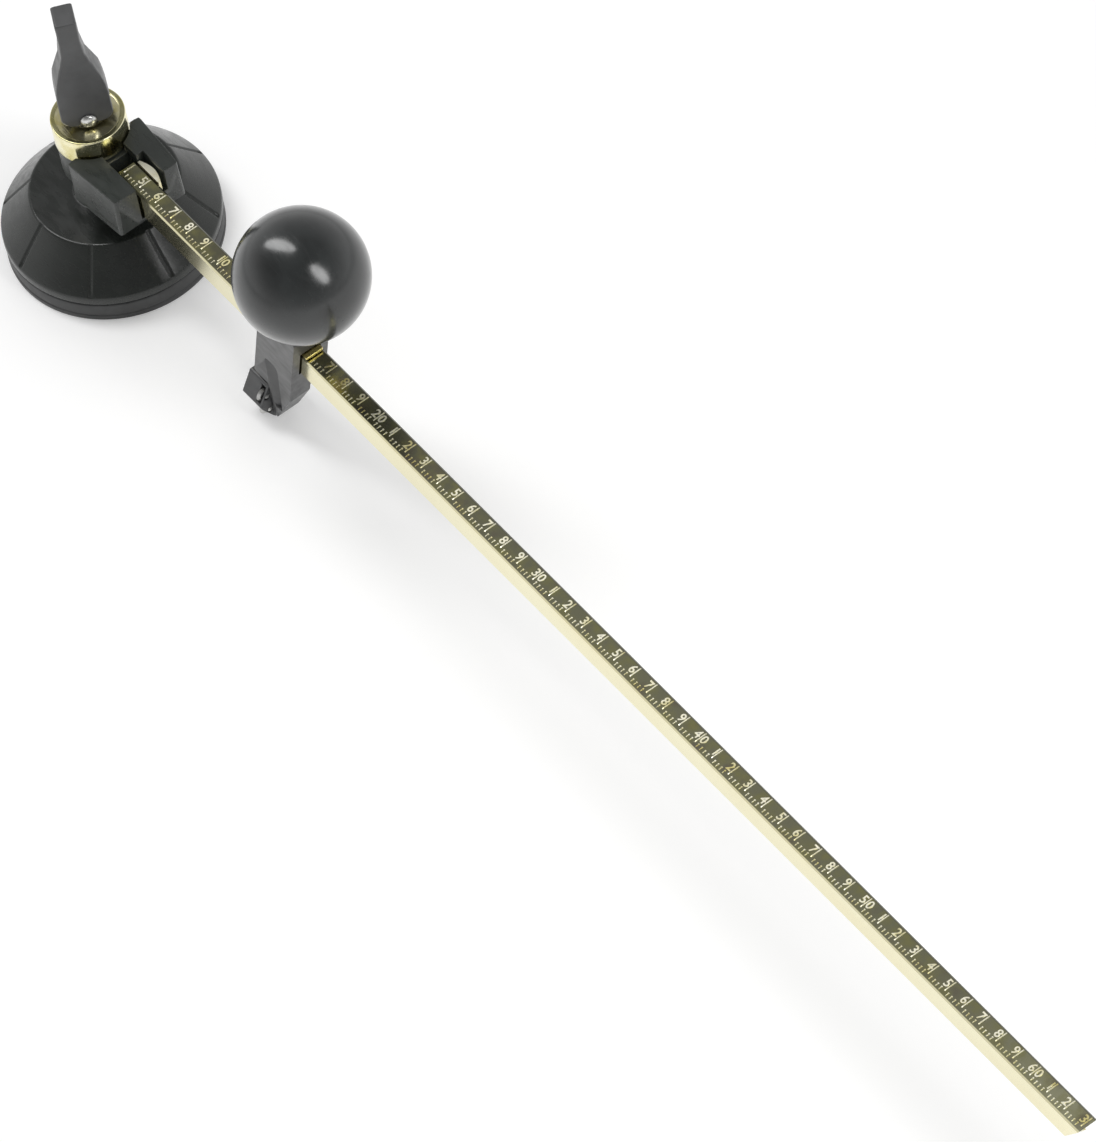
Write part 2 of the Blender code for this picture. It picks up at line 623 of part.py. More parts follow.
def make_carriage_outline():
    """The carriage's side view in (x, z): a raked body that narrows to the turret's cheek."""
    half = CARRIAGE_LENGTH / 2
    top = BAR_HEIGHT / 2 + 2 * SEAT + PLATE_THICKNESS + CARRIAGE_ROOF
    axis_z = TURRET_Z - BAR_CENTRE_Z
    hood_z = axis_z + max(WHEEL_REACH, TURRET_CORNER_RADIUS) + SEAT + RUNNING
    cheek_x = CHEEK_X - CARRIAGE_X
    foot_z = axis_z - TOE_REACH
    corners = [
        (rake(top) - half, top),
        (rake(hood_z) - half, hood_z),
        (cheek_x, hood_z),
        (cheek_x, foot_z),
        (cheek_x + TOE_THICKNESS, foot_z),
        (rake(-LEG_BREAK_DROP) + half, -LEG_BREAK_DROP),
        (rake(top) + half, top),
    ]
    return fillet(corners, CARRIAGE_CORNER), top


def make_carriage_section():
    """The carriage's end view in (y, z): full width round the bar, and a narrow toe on the -Y side."""
    half = CARRIAGE_WIDTH / 2
    foot_z = TURRET_Z - BAR_CENTRE_Z - TOE_REACH - OVERRUN
    above = BAR_HEIGHT + CARRIAGE_ROOF + OVERRUN
    toe_side = TOE_WIDTH - half
    return [(half, above), (-half, above), (-half, foot_z), (toe_side, foot_z),
            (toe_side, -FAR_STEP_DROP), (half, -FAR_WALL_DROP)]


def make_scoop_cutter():
    """The slanted recess in the -Y side, shallow at the back and deepest at its arched front wall."""
    start = -SCOOP_START_X
    wall = -SCOOP_WALL_X
    axis_z = TURRET_Z - BAR_CENTRE_Z
    outline = fillet([(start, -SCOOP_TOP_DROP), (start, axis_z), (wall - rake(LEG_BREAK_DROP) / 2, axis_z),
                      (wall, -SCOOP_TOP_DROP)], SCOOP_CORNER)
    half = CARRIAGE_WIDTH / 2
    outer = [(x, -half - OVERRUN, z) for x, z in outline]
    inner = [(x, SCOOP_DEPTH * (x - start) / (wall - start) - half, z) for x, z in outline]
    return loft("scoop", [outer, inner])


def make_carriage_body(material, pivot):
    """The moulded head that slides on the bar, with its raked leg, neck, channel and pivot hole."""
    outline, top = make_carriage_outline()
    half = CARRIAGE_WIDTH / 2
    body = prism("carriage_body", outline, "Y", -half - OVERRUN, half + OVERRUN, material)
    reach = CARRIAGE_LENGTH * 2
    combine(body, prism("end_view", make_carriage_section(), "X", -reach, reach), "INTERSECT")
    foot, crown = clamp_axis_point(top - CARRIAGE_ROOF / 2), clamp_axis_point(top + NECK_HEIGHT)
    combine(body, rod("neck", NECK_RADIUS, foot, crown, ROUND_STEPS), "UNION")
    channel_half = BAR_WIDTH / 2 + SEAT
    channel_top = top - CARRIAGE_ROOF
    combine(body, box("channel", (-reach, -channel_half, -BAR_HEIGHT / 2 - SEAT),
                      (reach, channel_half, channel_top)))
    below, above = clamp_axis_point(0), clamp_axis_point(top + NECK_HEIGHT + OVERRUN)
    combine(body, rod("clamp_hole", CLAMP_RADIUS + RUNNING, below, above, ROUND_STEPS))
    combine(body, make_scoop_cutter())
    cheek_x = CHEEK_X - CARRIAGE_X
    axis_z = TURRET_Z - BAR_CENTRE_Z
    combine(body, rod("pivot_hole", PIVOT_RADIUS + RUNNING, (cheek_x - OVERRUN, -TURRET_TRAIL, axis_z),
                      (cheek_x + PIVOT_BITE + RUNNING, -TURRET_TRAIL, axis_z)))
    return place(smooth(body), pivot)


def clamp_axis_point(height):
    """A point on the clamp screw's axis at a height above the bar's centre, in the carriage's frame."""
    return (BALL_X - CARRIAGE_X - rake(BALL_Z - BAR_CENTRE_Z - height), 0, height)


def make_pressure_plate(material, pivot):
    """The brass plate that the clamp screw presses on the bar, a little proud of the head's front."""
    low = BAR_HEIGHT / 2 + SEAT
    back = -CARRIAGE_LENGTH / 2 + rake(low) + PLATE_BACK_INSET
    front = CARRIAGE_LENGTH / 2 + rake(low) + PLATE_PROUD
    half = PLATE_WIDTH / 2
    outline = fillet([(back, -half), (front, -half), (front, half), (back, half)], PLATE_CORNER)
    plate = prism("pressure_plate", outline, "Z", low, low + PLATE_THICKNESS, material)
    return place(plate, pivot)


def ball_flat_depth():
    """How far below the ball's centre its flat for the insert's flange lies."""
    return math.sqrt(BALL_RADIUS ** 2 - INSERT_FLANGE_RADIUS ** 2)


def make_ball_knob(material, pivot):
    """The ball grip with a flat and a blind socket for its brass insert."""
    flat = ball_flat_depth()
    socket_radius = INSERT_RADIUS + RUNNING
    profile = [(0, BALL_SOCKET_DEPTH - flat), (socket_radius, BALL_SOCKET_DEPTH - flat),
               (socket_radius, -flat)]
    start = math.atan2(-flat, INSERT_FLANGE_RADIUS)
    for step in range(BALL_BANDS):
        angle = start + (math.pi / 2 - start) * step / BALL_BANDS
        profile.append((BALL_RADIUS * math.cos(angle), BALL_RADIUS * math.sin(angle)))
    profile.append((0, BALL_RADIUS))
    return place(revolve("ball_knob", profile, ROUND_STEPS, material), pivot)


def make_knob_insert(material, pivot):
    """The flanged brass insert moulded into the ball."""
    flange_top = -ball_flat_depth() - RUNNING
    flange_foot = flange_top - INSERT_FLANGE_THICKNESS
    top = BALL_SOCKET_DEPTH - ball_flat_depth() - SEAT
    bore = CLAMP_RADIUS + RUNNING
    profile = [(bore, flange_foot), (INSERT_FLANGE_RADIUS, flange_foot),
               (INSERT_FLANGE_RADIUS, flange_top), (INSERT_RADIUS, flange_top),
               (INSERT_RADIUS, top), (bore, top)]
    return place(revolve("knob_insert", profile, ROUND_STEPS, material), pivot)


def make_clamp_screw(material, pivot):
    """The screw in the ball, whose tip bears on the pressure plate."""
    plate_top = BAR_CENTRE_Z + BAR_HEIGHT / 2 + SEAT + PLATE_THICKNESS
    tip = -(BALL_Z - plate_top) / math.cos(CARRIAGE_RAKE) + CLAMP_TIP_CLEARANCE
    top = BALL_SOCKET_DEPTH - ball_flat_depth() - CLAMP_END_GAP
    profile = [(0, tip), (CLAMP_TIP_RADIUS, tip), (CLAMP_TIP_RADIUS, tip + CLAMP_TIP_LENGTH),
               (CLAMP_RADIUS, tip + CLAMP_TIP_LENGTH + CLAMP_RADIUS - CLAMP_TIP_RADIUS),
               (CLAMP_RADIUS, top), (0, top)]
    return place(revolve("clamp_screw", profile, SMALL_STEPS, material), pivot)


def wheel_angle(index):
    """The direction of one wheel from the turret's pivot; the first points straight down."""
    return -math.pi / 2 + 2 * math.pi * index / WHEEL_COUNT


def make_cutter_turret(material, pivot):
    """The six-cornered turret: a plain cap, a slot in each flat for a wheel, and a thin flange."""
    corners = [(TURRET_CORNER_RADIUS * math.cos(2 * math.pi * index / WHEEL_COUNT),
                TURRET_CORNER_RADIUS * math.sin(2 * math.pi * index / WHEEL_COUNT))
               for index in range(WHEEL_COUNT)]
    turret = prism("cutter_turret", fillet(corners, TURRET_FILLET), "X", TURRET_BACK, TURRET_FRONT, material)
    room = WHEEL_RADIUS + SEAT
    for index in range(WHEEL_COUNT):
        slot = box("wheel_slot", (-SLOT_HALF, WHEEL_PITCH_RADIUS - room, -room),
                   (SLOT_HALF, TURRET_CORNER_RADIUS + OVERRUN, room))
        combine(turret, place(slot, rotation=(wheel_angle(index), 0, 0)))
        y = WHEEL_PITCH_RADIUS * math.cos(wheel_angle(index))
        z = WHEEL_PITCH_RADIUS * math.sin(wheel_angle(index))
        combine(turret, rod("axle_hole", AXLE_RADIUS + RUNNING, (-SLOT_HALF - AXLE_BITE, y, z),
                            (TURRET_FRONT + OVERRUN, y, z), TINY_STEPS))
    combine(turret, rod("pivot_bore", PIVOT_RADIUS + RUNNING, (TURRET_BACK - OVERRUN, 0, 0),
                        (TURRET_FRONT + OVERRUN, 0, 0)))
    combine(turret, rod("head_recess", TURRET_RECESS_RADIUS, (TURRET_BACK - OVERRUN, 0, 0),
                        (TURRET_BACK + TURRET_RECESS_DEPTH, 0, 0)))
    return place(smooth(turret), pivot)


def make_wheels_and_axles(wheel_material, axle_material, pivot):
    """Six hardened cutting wheels, each on its own axle pin in the turret."""
    half = WHEEL_THICKNESS / 2
    bore = AXLE_RADIUS + RUNNING
    profile = [(bore, -half), (WHEEL_FLAT_RADIUS, -half), (WHEEL_RADIUS, 0),
               (WHEEL_FLAT_RADIUS, half), (bore, half)]
    for index in range(WHEEL_COUNT):
        centre = (0, WHEEL_PITCH_RADIUS * math.cos(wheel_angle(index)),
                  WHEEL_PITCH_RADIUS * math.sin(wheel_angle(index)))
        number = index + 1
        wheel = revolve(f"cutting_wheel_{number}", profile, SMALL_STEPS, wheel_material)
        place(wheel, pivot, centre, (0, math.pi / 2, 0))
        axle = rod(f"wheel_axle_{number}", AXLE_RADIUS, (-SLOT_HALF - AXLE_BITE + SEAT, 0, 0),
                   (TURRET_FRONT - AXLE_INSET, 0, 0), TINY_STEPS)
        axle.data.materials.append(axle_material)
        place(smooth(axle), pivot, centre)


def make_turret_screw(material, pivot):
    """The slotted pivot screw that holds the turret to the cheek."""
    head_foot = TURRET_BACK + TURRET_RECESS_DEPTH - 2 * RUNNING - SPRING_WASHER_THICKNESS
    head_top = head_foot - PIVOT_HEAD_THICKNESS
    end = TURRET_FRONT + SEAT + PIVOT_BITE
    profile = [(0, head_top), (PIVOT_HEAD_RADIUS, head_top), (PIVOT_HEAD_RADIUS, head_foot),
               (PIVOT_RADIUS, head_foot), (PIVOT_RADIUS, end), (0, end)]
    screw = revolve("turret_screw", profile, SMALL_STEPS, material)
    slot_half = PIVOT_SLOT_WIDTH / 2
    combine(screw, box("driver_slot", (-PIVOT_HEAD_RADIUS * 2, -slot_half, head_top - OVERRUN),
                       (PIVOT_HEAD_RADIUS * 2, slot_half, head_top + PIVOT_SLOT_DEPTH)))
    return place(smooth(screw), pivot, rotation=(0, math.pi / 2, 0))


def make_spring_washer(material, pivot):
    """The washer that keeps the turret firm under the screw's head."""
    washer = make_washer("spring_washer", PIVOT_RADIUS + RUNNING, SPRING_WASHER_RADIUS,
                         SPRING_WASHER_THICKNESS, SMALL_STEPS, material)
    floor = TURRET_BACK + TURRET_RECESS_DEPTH - RUNNING
    return place(washer, pivot, (floor, 0, 0), (0, -math.pi / 2, 0))


def make_base(black, rubber, brass, steel):
    """The base with its pad, bush and washer, and the stud and lever that pull the pad."""
    make_base_housing(black)
    make_suction_pad(rubber)
    make_swivel_bush(brass)
    washer = make_washer("thrust_washer", SLEEVE_RADIUS + SEAT, BOSS_RADIUS, WASHER_THICKNESS,
                         ROUND_STEPS, steel)
    place(washer, location=(0, 0, BOSS_TOP_Z + SEAT))
    lift = make_pivot("pad_lift_axis", (0, 0, 0))
    make_pad_stud(steel, lift)
    flip = make_pivot("lever_flip_axis", (0, 0, RIVET_Z), lift, (0, 0, LEVER_YAW))
    make_cam_lever(black, flip)
    make_lever_rivet(steel, flip)


def make_arm(black, brass, steel):
    """The swinging arm: the holder, the bar, its pin and its leaf spring."""
    swing = make_pivot("arm_swing_axis", (0, 0, 0))
    make_bar_holder(black, swing)
    make_measuring_bar(brass, swing)
    make_bar_pin(steel, swing)
    make_bar_spring(steel, swing)
    return swing


def make_head(black, ball_black, brass, steel, carbide, swing):
    """The sliding head: its body and clamp, and the turret with its wheels."""
    slide = make_pivot("carriage_slide_axis", (CARRIAGE_X, 0, BAR_CENTRE_Z), swing)
    make_carriage_body(black, slide)
    make_pressure_plate(brass, slide)
    knob = make_pivot("knob_axis", (BALL_X - CARRIAGE_X, 0, BALL_Z - BAR_CENTRE_Z), slide,
                      (0, CARRIAGE_RAKE, 0))
    make_ball_knob(ball_black, knob)
    make_knob_insert(brass, knob)
    make_clamp_screw(steel, knob)
    turret = make_pivot("turret_axis", (WHEEL_X - CARRIAGE_X, -TURRET_TRAIL, TURRET_Z - BAR_CENTRE_Z), slide)
    make_cutter_turret(black, turret)
    make_wheels_and_axles(carbide, steel, turret)
    make_turret_screw(steel, turret)
    make_spring_washer(steel, turret)


def main():
    clear_scene()
    black = make_material("black_plastic", (0.035, 0.036, 0.038), 0.42, 0.0)
    ball_black = make_material("ball_plastic", (0.012, 0.012, 0.013), 0.16, 0.0)
    rubber = make_material("black_rubber", (0.03, 0.031, 0.032), 0.55, 0.0)
    brass = make_material("polished_brass", (0.78, 0.68, 0.38), 0.2, 1.0)
    steel = make_material("bright_steel", (0.68, 0.68, 0.67), 0.3, 1.0)
    carbide = make_material("hardened_wheel", (0.5, 0.5, 0.5), 0.35, 1.0)
    make_base(black, rubber, brass, steel)
    swing = make_arm(black, brass, steel)
    make_head(black, ball_black, brass, steel, carbide, swing)
    bpy.context.view_layer.update()


main()
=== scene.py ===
"""Circle cutter: finishes, scale, softened mouldings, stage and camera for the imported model."""

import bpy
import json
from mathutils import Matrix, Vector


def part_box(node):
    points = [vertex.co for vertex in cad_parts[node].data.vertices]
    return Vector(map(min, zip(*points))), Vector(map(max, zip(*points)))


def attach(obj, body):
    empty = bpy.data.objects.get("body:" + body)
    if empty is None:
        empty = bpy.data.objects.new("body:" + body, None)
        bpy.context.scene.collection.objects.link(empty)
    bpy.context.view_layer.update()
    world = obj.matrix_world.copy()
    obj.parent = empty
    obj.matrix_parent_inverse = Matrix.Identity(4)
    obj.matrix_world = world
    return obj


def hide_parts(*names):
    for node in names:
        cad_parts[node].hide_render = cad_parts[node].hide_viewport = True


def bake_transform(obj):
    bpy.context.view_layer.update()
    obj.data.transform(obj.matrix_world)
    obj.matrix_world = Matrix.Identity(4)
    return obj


bl_info = {
    "name": "Circle Cutter Dressing",
    "version": (1, 0, 0),
    "blender": (4, 5, 0),
    "location": "3D View > Sidebar > Cutter",
    "description": "Dresses the circle cutter's solids with its finishes, its scale and its stage",
    "category": "Object",
}

import json
import math

import bmesh
import bpy
from mathutils import Matrix, Vector

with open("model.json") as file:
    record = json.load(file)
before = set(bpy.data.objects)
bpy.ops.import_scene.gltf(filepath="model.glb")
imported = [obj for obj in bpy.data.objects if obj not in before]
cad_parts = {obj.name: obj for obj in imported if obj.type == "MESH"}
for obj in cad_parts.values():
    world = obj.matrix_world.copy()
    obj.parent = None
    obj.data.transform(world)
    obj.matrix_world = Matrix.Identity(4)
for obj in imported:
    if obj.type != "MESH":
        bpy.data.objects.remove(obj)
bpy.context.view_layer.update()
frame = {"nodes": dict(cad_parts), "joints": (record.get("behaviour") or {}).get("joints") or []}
NODES = frame["nodes"]
BAR_LOW, BAR_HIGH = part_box("measuring_bar")
BELL_LOW, BELL_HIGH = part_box("base_housing")
PAD_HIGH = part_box("suction_pad")[1]
RING_LOW, RING_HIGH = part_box("swivel_bush")
MM = 0.001
STUD_BORE = 2.7 * MM
CROWN_DROP = 0.12 * MM
WHEEL_COUNT = 6
FINE_STEPS = 192
BELL_STEPS = 4 * FINE_STEPS
SMALL_STEPS = 48
MERGE = 0.002 * MM
FLAT_ANGLE = math.radians(0.6)
SHARP_ANGLE = math.radians(32)
CORNER_SHARE = 0.45
BEVEL_SEGMENTS = 3
BEVEL_ROOM = 2.5
CAMERA_PLACE = Vector((1.6921, -0.79132, 2.30743))
CAMERA_RIGHT = Vector((0.5962, 0.7924, -0.1293))
CAMERA_UP = Vector((-0.5936, 0.5435, 0.5935))
CAMERA_BACK = Vector((0.5405, -0.2771, 0.7944))


# Tones that the finishes mix in, and the span and the stretch of their noise

RUBBER = (0.036, 0.037, 0.037)
STEEL = (0.72, 0.72, 0.7)
WHEEL_STEEL = (0.52, 0.52, 0.51)
PLATE_BRASS = (0.72, 0.6, 0.24)
FIGURE_BRASS = (0.98, 0.95, 0.78)
TARNISH = (0.66, 0.58, 0.2)
# Colour of the painted dark reflection on the ring's top
PAINTED_DARK_REFLECTION = (0.28, 0.27, 0.11)
SIDE_TARNISH = (0.86, 0.78, 0.46)
FIELD_OLIVE = (0.42, 0.40, 0.16)
FIELD_SMOKE = (0.24, 0.19, 0.17)
MIDDLE = (0.3, 0.7)
DRAWN_OUT = (3, 1, 1)


# Settings that a user would change

class BellSettings(bpy.types.PropertyGroup):
    rim_height: bpy.props.FloatProperty(
        name="Rim height", description="Where the straight rim ends and the cone starts",
        default=6.64 * MM, unit="LENGTH", precision=5)
    disc_radius: bpy.props.FloatProperty(
        name="Disc radius", description="Radius of the flat disc on top",
        default=14.69 * MM, unit="LENGTH", precision=5)
    disc_height: bpy.props.FloatProperty(
        name="Disc height", description="Height of the flat disc on top",
        default=14.89 * MM, unit="LENGTH", precision=5)
    groove_count: bpy.props.IntProperty(
        name="Grooves", description="Number of shallow grooves down the cone", default=8, min=1)
    groove_width: bpy.props.FloatProperty(
        name="Groove width", description="Width of one groove", default=0.9 * MM, unit="LENGTH",
        precision=5)
    groove_depth: bpy.props.FloatProperty(
        name="Groove depth", description="Depth of one groove", default=0.32 * MM, unit="LENGTH",
        precision=5)
    groove_turn: bpy.props.FloatProperty(
        name="Groove turn", description="Direction of the first groove", default=math.radians(-2),
        unit="ROTATION")


class ScaleSettings(bpy.types.PropertyGroup):
    first: bpy.props.IntProperty(name="First figure", description="Lowest unit shown", default=4)
    last: bpy.props.IntProperty(name="Last figure", description="Highest unit shown", default=63)
    unit_length: bpy.props.FloatProperty(
        name="Unit length", description="Bar length for one unit of circle width", default=5 * MM,
        unit="LENGTH", precision=5)
    zero_unit: bpy.props.FloatProperty(
        name="Unit at the axis", description="Value of the scale over the base's axis",
        default=1.63)
    figure_height: bpy.props.FloatProperty(
        name="Figure height", description="Height of a figure", default=1.85 * MM, unit="LENGTH",
        precision=5)
    line_width: bpy.props.FloatProperty(
        name="Line width", description="Width of a unit line", default=0.27 * MM, unit="LENGTH",
        precision=5)
    proud: bpy.props.FloatProperty(
        name="Relief", description="How far figures and lines stand up", default=0.09 * MM,
        unit="LENGTH", precision=5)


class FinishSettings(bpy.types.PropertyGroup):
    moulding: bpy.props.FloatVectorProperty(
        name="Moulding", description="Colour of the black mouldings", subtype="COLOR",
        default=(0.0155, 0.0178, 0.0158), min=0, max=1)
    satin: bpy.props.FloatVectorProperty(
        name="Satin parts", description="Colour of the satin lever and head", subtype="COLOR",
        default=(0.062, 0.063, 0.064), min=0, max=1)
    ball: bpy.props.FloatVectorProperty(
        name="Ball", description="Colour of the glossy ball", subtype="COLOR",
        default=(0.016, 0.018, 0.018), min=0, max=1)
    brass: bpy.props.FloatVectorProperty(
        name="Brass", description="Colour of the polished brass", subtype="COLOR",
        default=(0.90, 0.85, 0.57), min=0, max=1)
    field: bpy.props.FloatVectorProperty(
        name="Scale field", description="Colour of the toned ground behind the figures",
        subtype="COLOR", default=(0.3, 0.295, 0.195), min=0, max=1)


class StageSettings(bpy.types.PropertyGroup):
    floor: bpy.props.FloatVectorProperty(
        name="Floor", description="Colour of the floor", subtype="COLOR",
        default=(0.87, 0.87, 0.87), min=0, max=1)
    lamp_level: bpy.props.FloatProperty(
        name="Lamp level", description="Brightness of the softboxes", default=1.0, min=0)
    sky_level: bpy.props.FloatProperty(
        name="Sky level", description="Brightness of the soft light from all round", default=0.5,
        min=0)


# Node helpers for the finishes

def start_finish(name, colour, roughness, metallic=0.0):
    """Return a new material with its tree and its shader."""
    finish = bpy.data.materials.new(name)
    finish.use_nodes = True
    shader = finish.node_tree.nodes["Principled BSDF"]
    shader.inputs["Base Color"].default_value = (*colour, 1)
    shader.inputs["Roughness"].default_value = roughness
    shader.inputs["Metallic"].default_value = metallic
    return finish, finish.node_tree, shader


def feed(tree, socket, value):
    """Link an output to an input socket, or set the socket to a plain value."""
    if isinstance(value, bpy.types.NodeSocket):
        tree.links.new(value, socket)
    else:
        socket.default_value = value


def grain(tree, size, detail=2.0, stretch=(1, 1, 1)):
    """Noise of a size in metres on the piece's own coordinates, drawn out along its axes."""
    place = tree.nodes.new("ShaderNodeTexCoord")
    mapping = tree.nodes.new("ShaderNodeMapping")
    mapping.inputs["Scale"].default_value = [1 / (size * share) for share in stretch]
    noise = tree.nodes.new("ShaderNodeTexNoise")
    noise.inputs["Scale"].default_value = 1
    noise.inputs["Detail"].default_value = detail
    tree.links.new(place.outputs["Object"], mapping.inputs["Vector"])
    tree.links.new(mapping.outputs["Vector"], noise.inputs["Vector"])
    return noise.outputs["Fac"]


def band(tree, value, low, high, start=0.0, end=1.0):
    """Turn a value between low and high into one between start and end."""
    span = tree.nodes.new("ShaderNodeMapRange")
    ends = {"From Min": low, "From Max": high, "To Min": start, "To Max": end}
    for label, number in ends.items():
        span.inputs[label].default_value = number
    tree.links.new(value, span.inputs["Value"])
    return span.outputs["Result"]


def tint(tree, factor, first, second):
    """Mix two colours, each plain or from a node, by a factor."""
    mix = tree.nodes.new("ShaderNodeMix")
    mix.data_type = "RGBA"
    tree.links.new(factor, mix.inputs["Factor"])
    for socket, colour in zip((mix.inputs[6], mix.inputs[7]), (first, second)):
        plain = not isinstance(colour, bpy.types.NodeSocket)
        feed(tree, socket, (*colour, 1) if plain else colour)
    return mix.outputs[2]


def axis_value(tree, axis):
    """The piece's own coordinate along one axis, in metres."""
    place = tree.nodes.new("ShaderNodeTexCoord")
    split = tree.nodes.new("ShaderNodeSeparateXYZ")
    tree.links.new(place.outputs["Object"], split.inputs["Vector"])
    return split.outputs[axis]


def relief(tree, shader, height, depth, strength=0.5):
    """Give a finish a bump from a height."""
    bump = tree.nodes.new("ShaderNodeBump")
    bump.inputs["Strength"].default_value = strength
    bump.inputs["Distance"].default_value = depth
    tree.links.new(height, bump.inputs["Height"])
    tree.links.new(bump.outputs["Normal"], shader.inputs["Normal"])


def shade(colour, share):
    """A colour made lighter or darker."""
    return tuple(min(1.0, channel * share) for channel in colour)


# Finishes

def moulded_plastic(name, colour, roughness):
    """Moulded plastic with a fine die texture, faint flow clouds and a few dull handling marks."""
    darker, lighter, dust, dust_cover = 0.86, 1.22, 2.2, 0.25
    smoother, duller = 0.05, 0.09
    finish, tree, shader = start_finish(name, colour, roughness)
    clouds = grain(tree, 7 * MM, detail=3)
    specks = grain(tree, 0.5 * MM)
    body = tint(tree, band(tree, clouds, *MIDDLE), shade(colour, darker), shade(colour, lighter))
    dusty = tint(tree, band(tree, specks, 0.66, 0.8, end=dust_cover), body, shade(colour, dust))
    tree.links.new(dusty, shader.inputs["Base Color"])
    marks = grain(tree, 1.4 * MM, detail=4, stretch=DRAWN_OUT)
    tree.links.new(band(tree, marks, 0.35, 0.7, roughness - smoother, roughness + duller),
                   shader.inputs["Roughness"])
    relief(tree, shader, grain(tree, 0.16 * MM), depth=0.006 * MM)
    return finish


def ball_plastic(name, colour):
    """Glossy black ball plastic with a faint ripple and hairline rubs."""
    darker, lighter = 0.55, 1.7
    smooth, rubbed_and_painted_reflection = 0.17, 0.3
    finish, tree, shader = start_finish(name, colour, roughness=0.2)
    clouds = grain(tree, 9 * MM, detail=3)
    clouded = tint(tree, band(tree, clouds, *MIDDLE), shade(colour, darker), shade(colour, lighter))
    tree.links.new(clouded, shader.inputs["Base Color"])
    rubs = grain(tree, 0.6 * MM, detail=4, stretch=(6, 1, 2))
    tree.links.new(band(tree, rubs, 0.4, 0.75, smooth, rubbed_and_painted_reflection), shader.inputs["Roughness"])
    shader.inputs["Coat Weight"].default_value = 0.5
    shader.inputs["Coat Roughness"].default_value = smooth
    relief(tree, shader, grain(tree, 5 * MM), depth=0.03 * MM, strength=0.35)
    return finish


def cup_rubber(name):
    """Black cup rubber with a powdery bloom."""
    lighter = 1.8
    finish, tree, shader = start_finish(name, RUBBER, roughness=0.5)
    bloom = grain(tree, 3 * MM, detail=5)
    tree.links.new(tint(tree, band(tree, bloom, 0.42, 0.72), RUBBER, shade(RUBBER, lighter)),
                   shader.inputs["Base Color"])
    tree.links.new(band(tree, bloom, 0.35, 0.7, start=0.42, end=0.62), shader.inputs["Roughness"])
    relief(tree, shader, grain(tree, 0.22 * MM, detail=3), depth=0.008 * MM)
    return finish


def polished_brass(name, colour, roughness=0.16, painted_reflection_from=None):
    """Polished brass with olive tarnish and polishing lines, and a painted dark reflection above
    the height given.
    """
    stain_cover, painted_reflection_cover, painted_reflection_edge = 0.85, 0.65, 0.1 * MM
    smoother, duller = 0.05, 0.12
    finish, tree, shader = start_finish(name, colour, roughness, metallic=1.0)
    stain = band(tree, grain(tree, 4 * MM, detail=4), 0.45, 0.66, end=stain_cover)
    tarnish_and_painted_reflection = tint(tree, stain, colour, TARNISH)
    if painted_reflection_from:
        # Above the given height the brass darkens into a painted dark reflection
        crown = band(tree, axis_value(tree, "Z"), painted_reflection_from, painted_reflection_from + painted_reflection_edge,
                     end=painted_reflection_cover)
        tarnish_and_painted_reflection = tint(tree, crown, tarnish_and_painted_reflection, PAINTED_DARK_REFLECTION)
    tree.links.new(tarnish_and_painted_reflection, shader.inputs["Base Color"])
    lines = grain(tree, 0.25 * MM, detail=3, stretch=(14, 1, 1))
    tree.links.new(band(tree, lines, *MIDDLE, roughness - smoother, roughness + duller),
                   shader.inputs["Roughness"])
    relief(tree, shader, lines, depth=0.004 * MM, strength=0.4)
    return finish


def bar_brass(name, colour, field):
    """Bar brass: polished sides and a toned, lightly etched ground behind the raised scale, the
    ground lightened along the bar by a painted reflection that brightens at the far end, with a
    painted dark line along the far top edge.
    """
    edge_dark, painted_dark_line = 0.45, 0.25
    near_base, midway, far_end = 0.75, 1.15, 2
    polished, etched = 0.17, 0.2
    finish, tree, shader = start_finish(name, colour, roughness=etched, metallic=1.0)
    along = axis_value(tree, "X")
    across = axis_value(tree, "Y")
    height = axis_value(tree, "Z")
    on_top = band(tree, height, BAR_HIGH.z - 0.1 * MM, BAR_HIGH.z - 0.03 * MM)
    lower_edge = band(tree, height, BAR_LOW.z + 0.45 * MM, BAR_LOW.z + 0.25 * MM)
    streaks = band(tree, grain(tree, 9 * MM, detail=3, stretch=DRAWN_OUT), 0.4, 0.72, end=0.5)
    olive = band(tree, grain(tree, 2.6 * MM, detail=4), 0.42, 0.7, end=0.7)
    smoke = band(tree, grain(tree, 4 * MM, detail=3), 0.55, 0.72, end=0.5)
    side = tint(tree, streaks, colour, SIDE_TARNISH)
    edged = tint(tree, lower_edge, side, shade(colour, edge_dark))
    # Painted reflection: the ground lightens from the base along the bar and brightens at the far
    # end
    rubbed_and_painted_reflection = tint(tree, band(tree, along, 60 * MM, 170 * MM), shade(field, near_base),
                  shade(field, midway))
    painted_reflection_bright_end = tint(tree, band(tree, along, 270 * MM, 300 * MM), rubbed_and_painted_reflection, shade(field, far_end))
    smoke_and_painted_reflection = tint(tree, smoke, tint(tree, olive, painted_reflection_bright_end, FIELD_OLIVE), FIELD_SMOKE)
    # Painted dark reflection along the bar's far top edge
    rim = sum_node(tree, "MULTIPLY",
                   band(tree, across, BAR_HIGH.y - 0.45 * MM, BAR_HIGH.y - 0.35 * MM),
                   band(tree, height, BAR_HIGH.z - 0.5 * MM, BAR_HIGH.z - 0.4 * MM))
    ground = tint(tree, on_top, edged, smoke_and_painted_reflection)
    tree.links.new(tint(tree, rim, ground, shade(field, painted_dark_line)), shader.inputs["Base Color"])
    tree.links.new(band(tree, on_top, 0, 1, polished, etched), shader.inputs["Roughness"])
    relief(tree, shader, grain(tree, 0.3 * MM, detail=3, stretch=DRAWN_OUT), depth=0.002 * MM,
           strength=0.015)
    return finish


